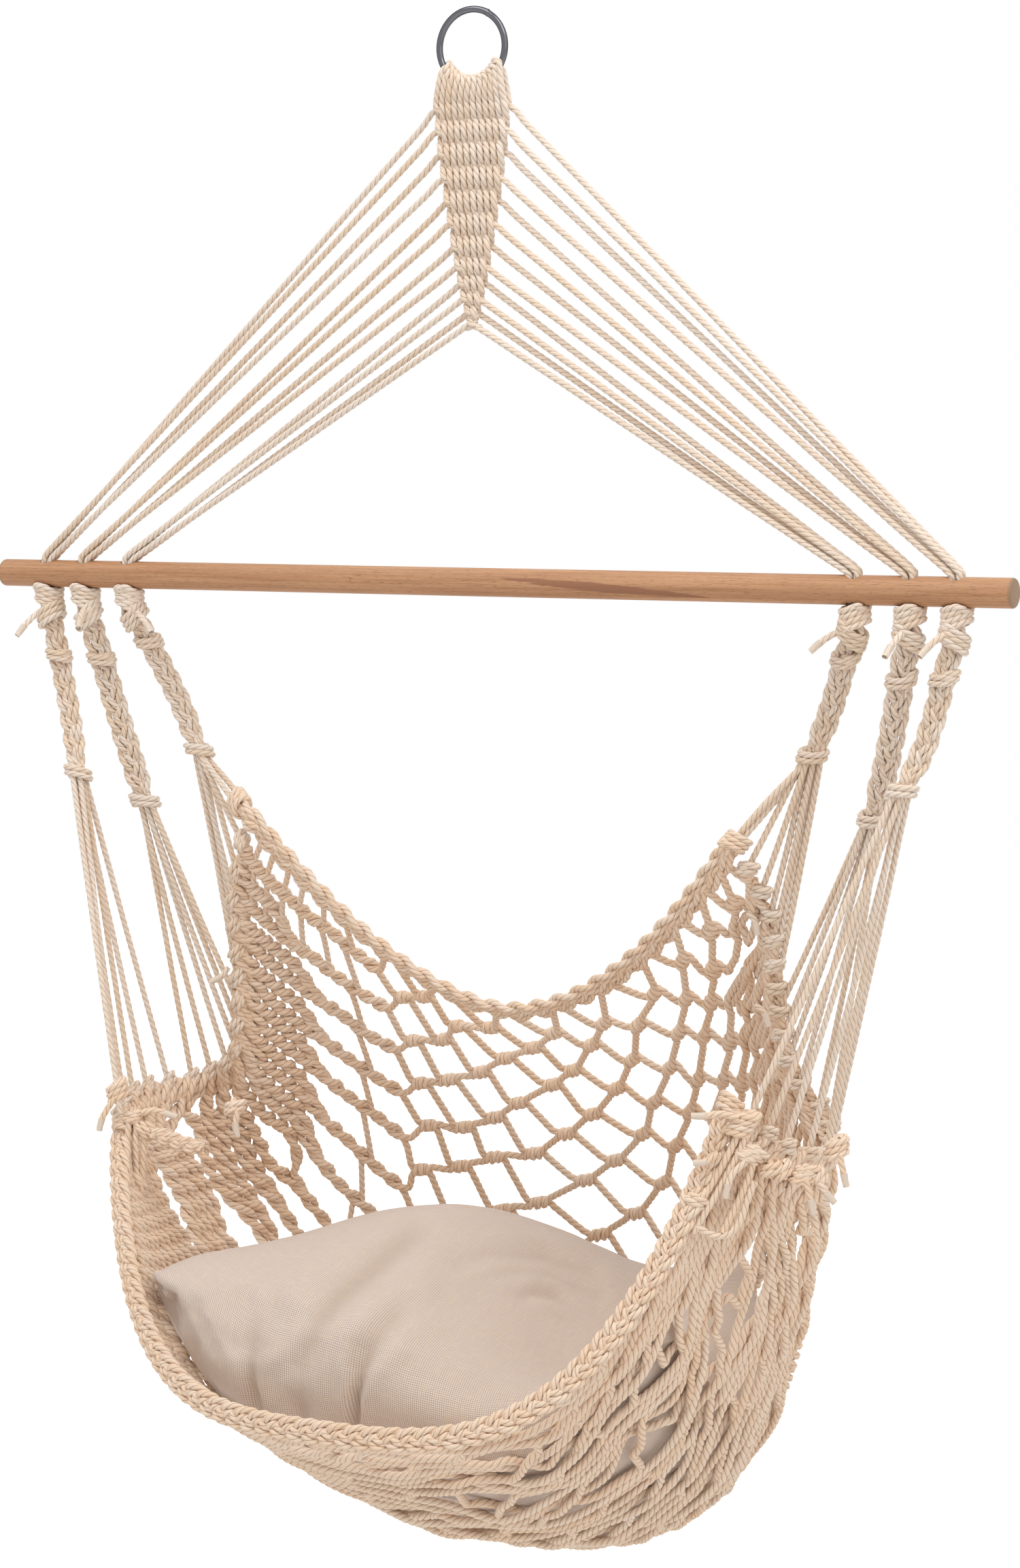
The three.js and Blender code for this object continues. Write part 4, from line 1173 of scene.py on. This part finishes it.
for side, ties in cornerTies.items():
    corner = rimPoint(side, 1)
    cords = []
    for right, up, reach, count, lean in ties["knots"]:
        centre = fromView(right, up, corner, tieNearer["knots"])
        leaning = math.radians(lean)
        axis = viewRight * math.cos(leaning) + viewUp * math.sin(leaning)
        cords += wraps(centre, axis, -lookWay, "tie", dice.random(), cords=count, reach=reach)
        cords += wraps(centre, axis.cross(lookWay), -lookWay, "tieBand", dice.random(),
                       reach=reach * tieBandShare)
    cords += [cord(seenCurve(places, corner, "cords"), tieRadius["cords"]) for places in ties["cords"]]
    for places in ties["plaits"]:
        cords += plait(Path(seenCurve(places, corner, "plaits")), lambda place: viewUp, plaits["tie"])
    cords += [taped(places, corner, "tails") for places in ties["tails"]]
    piece = layCords("cornerTies_" + ("left" if side < 0 else "right"), cords, netMaterial,
                     cordShape["closeSpacing"])
    settle(piece, "seat", "cotton", "front_rim_braid")

cords = [taped(places, seatPoint(-1 if places[0][0] < 0 else 1, 0.25), "looseEnds")
         for places in looseEnds]
settle(layCords("looseEnds", cords), "seat", "cotton", "back_rim_braid")

# Clear tape wound tightly round the ends: shows as a pale, glossy tip
tape = {"colour": "#dccab8", "radius": 3.25, "taper": 0.1, "valleyDepth": 0.06, "spacing": 2.0}
tapeMaterial = newMaterial("clearTape", {
    "Base Color": tape["colour"], "Roughness": 0.35, "Coat Weight": 0.3, "Coat Roughness": 0.2})[0]
sleeves = [cord(line, [tape["radius"] - tape["taper"] * stop for stop in range(len(line))]) for line in tapes]
settle(layCords("tailTapes", sleeves, tapeMaterial, tape["spacing"], tape["valleyDepth"]),
       "seat", "cotton", "front_rim_braid")
print("ties and tapes made")

# Cushion: a fat feather cushion in a linen cover, pressed into the net. The cover is blown up by a
# short cloth simulation, and the folds that the photograph shows are then pressed into it.
cushion = {
    "crown": 290, "lift": 7.8, "back": 0.47, "front": 0.975, "across": [0.4, 0.5, 0.56, 0.61, 0.66],
    "draw": 0.06, "steps": 80, "rise": Vector((0, -0.6, 0.8)), "frames": 20,
    "cloth": {"quality": 4, "mass": 0.25, "tension_stiffness": 12, "compression_stiffness": 12,
              "shear_stiffness": 4, "bending_stiffness": 1.2, "use_pressure": True,
              "uniform_pressure_force": 4.0, "shrink_min": -0.05, "vertex_group_mass": "held"},
    "mostMoved": 7.0, "unevenSize": 85, "uneven": 3.0, "creaseSize": 26, "crease": 0.7,
    "fuller": 0.08, "fullerAt": (-0.3, -0.3), "fullerSpan": (0.45, 0.6), "sunk": 0.34,
    "sinks": (-0.3, 0.9), "crest": -0.15, "crestLeaves": (-0.95, 0.8), "frontSlope": 0.2,
    "foldLip": 0.45, "foldShadeSpan": 0.55, "seamSpan": 0.04, "facingSpan": 0.3,
}
# every fold runs through places as seen from the camera (right, up), with its depth and half width
folds = [
    [(-135, -575, 9, 4), (-136, -536, 9, 5), (-131, -510, 7, 7), (-116, -484, 5, 10), (-100, -463, 3, 13),
     (-88, -440, 0, 18)],
    [(-215, -560, 7, 4), (-225, -530, 7, 5), (-228, -506, 5, 8), (-225, -482, 3, 11), (-215, -450, 0, 16)],
    [(-184, -505, 3, 12), (-167, -468, 6, 15), (-146, -442, 7, 17), (-116, -416, 7, 19), (-91, -395, 6, 19),
     (-66, -382, 0, 20)],
    [(-60, -418, 0, 8), (-10, -409, 3, 8), (30, -412, 4, 8), (70, -425, 2, 9)],
    [(4, -448, 0, 6), (24, -444, 4, 6), (40, -447, 4, 6), (56, -456, 0, 7)],
    [(-30, -430, 0, 7), (6, -425, 2.5, 7), (38, -430, 3, 7), (77, -444, 2, 8)],
    [(-316, -437, 9, 6), (-303, -450, 9, 7), (-299, -468, 8, 8), (-302, -492, 5, 9)],
    [(-296, -445, 5, 8), (-280, -476, 4, 12), (-266, -506, 0, 16)],
    [(-195, -520, 0, 12), (-182, -545, 6, 10), (-178, -570, 6, 10)],
]


def cushionUnderside(across, down):
    reach = across * along(cushion["across"], (down + 1) / 2)
    drawnIn = reach * (1 - cushion["draw"] * (1 - down ** 2) * across ** 2)
    drawnDown = down * (1 - cushion["draw"] * (1 - across ** 2) * down ** 2)
    place = (cushion["back"] + cushion["front"]) / 2 + drawnDown * (cushion["front"] - cushion["back"]) / 2
    return seatPoint(drawnIn, place) + seatFrame(drawnIn, place)[1] * cushion["lift"]


def cushionTop(across, down):
    right, lower = (across + 1) / 2, (down + 1) / 2
    under = cushionUnderside
    sides = under(-1, down).lerp(under(1, down), right)
    ends = under(across, -1).lerp(under(across, 1), lower)
    corners = under(-1, -1).lerp(under(1, -1), right).lerp(under(-1, 1).lerp(under(1, 1), right), lower)
    # the crest lies behind the middle, except at the pinched left end
    free = ramp(across, *cushion["crestLeaves"])
    crest = cushion["crest"] * free
    span, power = (1 + crest, 0.5) if down < crest else (1 - crest, 0.5 + cushion["frontSlope"] * free)
    profile = max(0, 1 - ((down - crest) / span) ** 2) ** power
    # fuller at the left, and lower at the right
    fuller = cushion["fuller"] * math.exp(-sum(
        ((share - at) / wide) ** 2
        for share, at, wide in zip((across, down), cushion["fullerAt"], cushion["fullerSpan"])))
    sunk = cushion["sunk"] * ramp(across, *cushion["sinks"])
    rise = cushion["crown"] * math.sqrt(1 - across ** 2) * profile * (1 + fuller - sunk)
    return sides + ends - corners + cushion["rise"] * rise


def foldAt(here):
    # how far the folds press in where the camera sees this place, less the lips at their sides, and
    # how much of a fold's shade lies there
    total, shade = 0.0, 0.0
    for fold in folds:
        nearest = None
        for first, second in zip(fold, fold[1:]):
            start, end = Vector(first), Vector(second)
            run = end.xy - start.xy
            share = min(max((here - start.xy).dot(run) / run.length_squared, 0), 1)
            off = (here - start.xy - run * share).length
            if nearest is None or off < nearest:
                nearest = off
                depth, width = start.lerp(end, share)[2:]
        lip = math.exp(-((nearest - 2 * width) / width) ** 2)
        total += depth * (math.exp(-(nearest / width) ** 2) - cushion["foldLip"] * lip)
        dark = math.exp(-(nearest / (cushion["foldShadeSpan"] * width)) ** 2)
        shade = max(shade, min(depth / 10, 1) * dark)
    return total, shade


# the fold colour is painted shade for the bottoms of the folds
linen = {
    "thread": "#ecdfd6", "gap": "#a78d78", "slub": "#dcc4a8", "speck": "#7b6450", "fold": "#a98f78",
    "pitch": 1.8, "slubWidth": 1.3, "slubStretch": 14, "speckSize": 9, "reliefDepth": 0.3,
}


def linenMaterial():
    # plain weave of uneven threads; the slubs and a few dark specks keep it from looking printed
    made = newMaterial("linenCanvas", {
        "Roughness": 0.92, "Sheen Weight": 0.2, "Sheen Roughness": 0.6, "Specular IOR Level": 0.2})
    tree = made[1]
    coords = node(tree, "ShaderNodeTexCoord", output="UV")
    split = node(tree, "ShaderNodeSeparateXYZ", {0: coords}, None)
    waves = [maths(tree, "SINE", maths(tree, "MULTIPLY", split[axis], math.pi / (linen["pitch"] * mm)))
             for axis in ("X", "Y")]
    weave = maths(tree, "POWER", maths(tree, "ABSOLUTE", maths(tree, "MULTIPLY", *waves)), 0.6)
    thin = 1 / linen["slubStretch"]
    ways = [node(tree, "ShaderNodeMapping", {"Scale": stretch, "Vector": coords})
            for stretch in ((1, thin, 1), (thin, 1, 1))]
    slubs = maths(tree, "MAXIMUM", *[unevenness(tree, way, linen["slubWidth"]) for way in ways])
    threads = mixColours(tree, linen["gap"], linen["thread"], weave)
    slubbed = mixColours(tree, threads, linen["slub"], mapped(tree, slubs, (0.52, 0.78), (0, 0.8)))
    specks = node(tree, "ShaderNodeTexVoronoi", {
        "Scale": 1 / (linen["speckSize"] * mm), "Vector": coords}, "Distance")
    specked = mixColours(tree, slubbed, linen["speck"], mapped(tree, specks, (0.05, 0.03), (0, 0.35)))
    # painted shade: a fold's bottom gets little light, so its colour is drawn towards the darker, warmer fold
    # colour
    final = mixColours(tree, specked, linen["fold"],
                       maths(tree, "MULTIPLY", attribute(tree, "foldShade"), 0.55))
    height = maths(tree, "MULTIPLY_ADD", slubs, 1.2, weave)
    return finished(made, final, height, 0.55, linen["reliefDepth"])


def blownUp(piece):
    # the pressed underside and the seam stay, the rest swells and wrinkles a little
    held = piece.vertex_groups.new(name="held")
    rest = [vert.co.copy() for vert in piece.data.vertices]
    held.add(list(range((cushion["steps"] + 1) ** 2)), 1.0, "REPLACE")
    cover = piece.modifiers.new("cover", "CLOTH")
    for name, value in cushion["cloth"].items():
        setattr(cover.settings, name, value)
    cover.settings.effector_weights.gravity = 0
    cover.collision_settings.use_collision = cover.collision_settings.use_self_collision = False
    cover.point_cache.frame_start, cover.point_cache.frame_end = 1, cushion["frames"]
    for step in range(1, cushion["frames"] + 1):
        scene.frame_set(step)
    piece = applied(piece)
    scene.frame_set(1)
    most = cushion["mostMoved"] * mm
    for vert, start in zip(piece.data.vertices, rest):
        moved = vert.co - start
        if moved.length > most:
            vert.co = start + moved * (most / moved.length)
    return piece


def offMiddle(points):
    # distances along a line of points, from its middle one
    lengths = Path(points).lengths
    return [length - lengths[len(points) // 2] for length in lengths]


def cushionPiece():
    steps = cushion["steps"]
    stops, edge = range(steps + 1), (0, steps)
    shares = [2 * stop / steps - 1 for stop in stops]
    build = bmesh.new()
    laid = build.loops.layers.uv.new("weave")
    grids = []
    for layer, surface in enumerate((cushionUnderside, cushionTop)):
        places = [[surface(across, down) for across in shares] for down in shares]
        # the top shares the underside's corners along the seam
        grid = [[grids[0][row][column] if layer and (row in edge or column in edge)
                 else build.verts.new(places[row][column] * mm) for column in stops] for row in stops]
        grids.append(grid)
        # the weave is laid out along the surface: distances from the middle along rows and columns
        rowLengths = [offMiddle(line) for line in places]
        columnLengths = [offMiddle(line) for line in zip(*places)]
        for row in range(steps):
            for column in range(steps):
                corners = [(row, column), (row, column + 1), (row + 1, column + 1), (row + 1, column)]
                if layer:
                    corners.reverse()
                face = build.faces.new([grid[r][c] for r, c in corners])
                for loop, (r, c) in zip(face.loops, corners):
                    loop[laid].uv = (rowLengths[r][c] * mm, columnLengths[c][r] * mm)
    build.verts.index_update()
    spots = {grids[1][row][column].index: min(1 - abs(shares[column]), 1 - abs(shares[row]))
             for row in stops[1:-1] for column in stops[1:-1]}
    piece = built("seatCushion", build)
    piece = blownUp(piece)
    top = piece.data.attributes.new("onTop", "FLOAT", "POINT")
    for index, inside in spots.items():
        top.data[index].value = ramp(inside, 0, cushion["seamSpan"])
    finer = piece.modifiers.new("finer", "SUBSURF")
    finer.levels = finer.render_levels = 1
    piece = applied(piece)
    mesh = piece.data
    mesh.update()
    normals = [vert.normal.copy() for vert in mesh.vertices]
    onTop = [spot.value for spot in mesh.attributes["onTop"].data]
    shades = []
    for vert, normal, share in zip(mesh.vertices, normals, onTop):
        swell = noise.noise(vert.co / (cushion["unevenSize"] * mm)) * cushion["uneven"]
        swell += noise.noise(vert.co / (cushion["creaseSize"] * mm) + Vector((7, 3, 1))) * cushion["crease"]
        facing = ramp(-normal.dot(lookWay), 0, cushion["facingSpan"])
        depth, shade = foldAt(seen(vert.co / mm)) if share * facing > 0 else (0, 0)
        vert.co += normal * (swell - depth * facing) * mm * share
        shades.append(shade * facing * share)
    mesh.attributes.new("foldShade", "FLOAT", "POINT").data.foreach_set("value", shades)
    mesh.shade_smooth()
    return painted(piece, linenMaterial())


cushionObject = cushionPiece()
settle(cushionObject, "cushion", "linen", "seat_cushion")
print("cushion made")

# Floor, backdrop and lights. The floor and the world shine plain white where the camera sees them,
# directly, in metal or through something clear.
studio = {"floor": -1.85, "floorHalf": 7, "floorColour": "#f2f0ee", "floorShine": 0.5, "world": 0.76}


def whereSeen(tree):
    rays = node(tree, "ShaderNodeLightPath", output=None)
    seenToo = maths(tree, "MAXIMUM", rays["Is Camera Ray"], rays["Is Glossy Ray"])
    return maths(tree, "MAXIMUM", seenToo, rays["Is Transmission Ray"])


floorMaterial, floorTree, floorShader = newMaterial("paleFloor", {
    "Base Color": studio["floorColour"], "Roughness": 0.9, "Emission Color": "#ffffff"})
put(floorTree, floorShader.inputs["Emission Strength"],
    maths(floorTree, "MULTIPLY", whereSeen(floorTree), studio["floorShine"]))
floorMesh = bpy.data.meshes.new("floor")
half = studio["floorHalf"]
floorMesh.from_pydata([(x, y, studio["floor"]) for x, y in
                       ((-half, -half), (half, -half), (half, half), (-half, half))],
                      [], [(0, 1, 2, 3)])
floorMesh.materials.append(floorMaterial)
floorObject = placed("floor", floorMesh)

world = bpy.data.worlds.new("studio")
world.use_nodes = True
scene.world = world
sky = world.node_tree
sky.nodes.clear()
skyLight = node(sky, "ShaderNodeBackground", {
    "Color": "#ffffff", "Strength": mapped(sky, whereSeen(sky), (0, 1), (studio["world"], 1))})
node(sky, "ShaderNodeOutputWorld", {"Surface": skyLight}, None)

lamps = {
    "key": {"place": (-0.9, -1.5, 3.0), "aim": (0, 0, -0.8), "size": 2.4, "watts": 44},
    "fill": {"place": (3.1, -1.4, 1.1), "aim": (0, 0, -0.8), "size": 2.6, "watts": 15},
    "inner": {"place": (1.1, -0.5, 1.3), "aim": (-0.3, 0.15, -0.85), "size": 1.2, "watts": 12},
}
for name, lamp in lamps.items():
    data = bpy.data.lights.new(name, "AREA")
    data.size, data.energy = lamp["size"], lamp["watts"]
    light = placed(name, data)
    light.location = lamp["place"]
    light.rotation_euler = (Vector(lamp["aim"]) - light.location).to_track_quat("-Z", "Y").to_euler()
print("stage and lights made")
